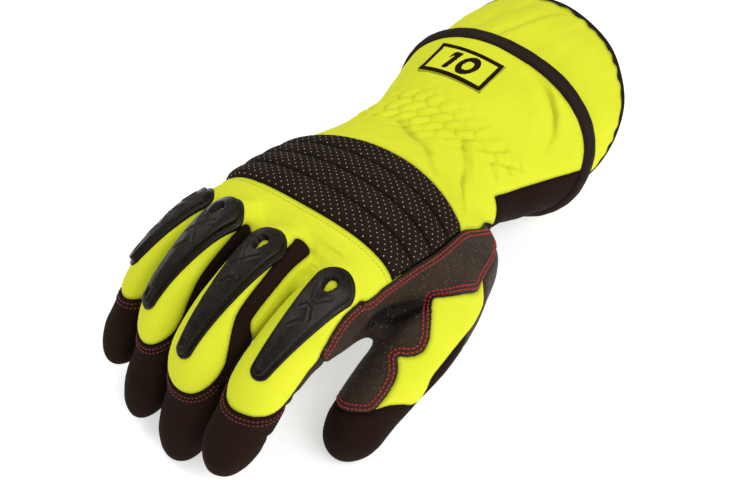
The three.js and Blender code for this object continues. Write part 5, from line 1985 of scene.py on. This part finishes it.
@dataclass
class Studio:
    """Plain pale floor, soft lights and the camera."""

    # Camera's way back from the glove, to its right and up, in the hand frame
    back: tuple[float, float, float] = (0.509, -0.594, 0.623)
    right: tuple[float, float, float] = (0.705, 0.703, 0.096)
    up: tuple[float, float, float] = (-0.495, 0.390, 0.776)
    distance: float = 946.8  # of the camera from the point that it looks at, mm
    target: tuple[float, float, float] = (0.0, 60.0, 0.0)  # that point, mm
    lens: float = 93.846  # focal length, mm
    sensor: float = 36.0  # width, mm
    shift: tuple[float, float] = (0.01975, -0.04171)  # of the picture, in widths
    reach: float = 4.0  # half width of the floor, m

    def floor(self) -> None:
        """Builds the floor."""
        material, graph, shader = new_material("pale_floor", 0.9, 0.0, 0.1)
        white = paint(1.0, 1.0, 1.0)
        graph.wire(shader, Base_Color=paint(0.8, 0.8, 0.8), Emission_Color=white, Emission_Strength=0.55)
        mesh = bpy.data.meshes.new("floor")
        corners = [(x * self.reach, y * self.reach, 0) for x, y in ((-1, -1), (1, -1), (1, 1), (-1, 1))]
        mesh.from_pydata(corners, [], [(0, 1, 2, 3)])
        mesh.materials.append(material)
        link("floor", mesh)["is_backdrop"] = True

    def light(self, light: Light, way: Vector) -> None:
        """Adds one light on its way from the glove."""
        lamp = bpy.data.lights.new(light.name, "AREA")
        lamp.size, lamp.energy = light.size, light.power
        piece = link(light.name, lamp)
        piece.location = way.normalized() * light.distance
        piece.rotation_euler = (-way).to_track_quat("-Z", "Y").to_euler()

    def build(self) -> None:
        """Builds floor, lights, surroundings and camera."""
        self.floor()
        back, right, up = (laid_vector(way) for way in (self.back, self.right, self.up))
        for light in LIGHTS:
            towards, sideways, upwards = light.way
            self.light(light, back * towards + up * upwards + right * sideways)
        world = bpy.data.worlds.new("studio")
        world.use_nodes = True
        graph = Graph(world.node_tree)
        graph.wire(graph.tree.nodes["Background"], Color=paint(1.0, 1.0, 1.0), Strength=0.38)
        bpy.context.scene.world = world
        bpy.context.scene.view_settings.view_transform = "Standard"
        camera = bpy.data.cameras.new("camera")
        camera.lens, camera.sensor_width = self.lens, self.sensor
        camera.shift_x, camera.shift_y = self.shift
        place = laid(np.array([self.target]) + self.distance * np.array([self.back]))[0]
        piece = link("camera", camera)
        turn = Matrix((right, up, back)).transposed().to_4x4()
        piece.matrix_world = Matrix.Translation(Vector(place)) @ turn
        bpy.context.scene.camera = piece


LEATHER_BESIDE = (Panel.BACK, Panel.BAND, Panel.WRIST, Panel.THUMB_BACK, Panel.THUMB_TIP, Panel.INDEX_TIP)
LEATHER_ROW = StitchRow("leather_stitches", Panel.SADDLE, LEATHER_BESIDE, (1.7, 3.7), 2.2, 1.75, 0.48, 85.0)
STITCHES = (
    (RED_THREAD, LEATHER_ROW),
    *((DULL_RED_THREAD, StitchRow(f"{tip.value}_stitches", tip, (Panel.BACK,), (2.4, 4.4))) for tip in TIPS),
    (YELLOW_THREAD, StitchRow("band_stitches", Panel.BACK, (Panel.BAND,), (3.4,), 2.0, 1.6, 0.2)),
)


def main() -> None:
    """Builds the glove round the frame and lights it."""
    logging.basicConfig(level=logging.INFO, format="%(name)s: %(message)s")
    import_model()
    frame_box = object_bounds()
    groups = Groups()
    parts = {
        "yellow_cloth": YELLOW, "black_cloth": BLACK, "knit": BandFinish(), "leather": LeatherFinish(),
        "rubber": RubberFinish(),
    }
    finishes = {slot: finish.make(groups) for slot, finish in parts.items()}
    yellow, black = finishes["yellow_cloth"], finishes["black_cloth"]
    form = GloveForm()
    shell = Shell(form, finishes)
    shell.build()
    threads = {thread: thread.make(groups) for thread in (RED_THREAD, DULL_RED_THREAD, YELLOW_THREAD)}
    for thread, row in STITCHES:
        row.build(shell, threads[thread])
    for limb, finger in zip(form.fingers, FINGERS):
        KnuckleGuard(limb, finger.guard_shift).build(form, finishes["rubber"])
    Cuff(form, yellow, HEM.make(groups)).build()
    LabelPatch().build(form, yellow, black)
    Studio().build()
    sizes = [[list(map(float, corner)) for corner in box] for box in (frame_box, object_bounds())]
    LOG.info("frame box and visual box: %s", sizes)


if __name__ == "__main__":
    main()
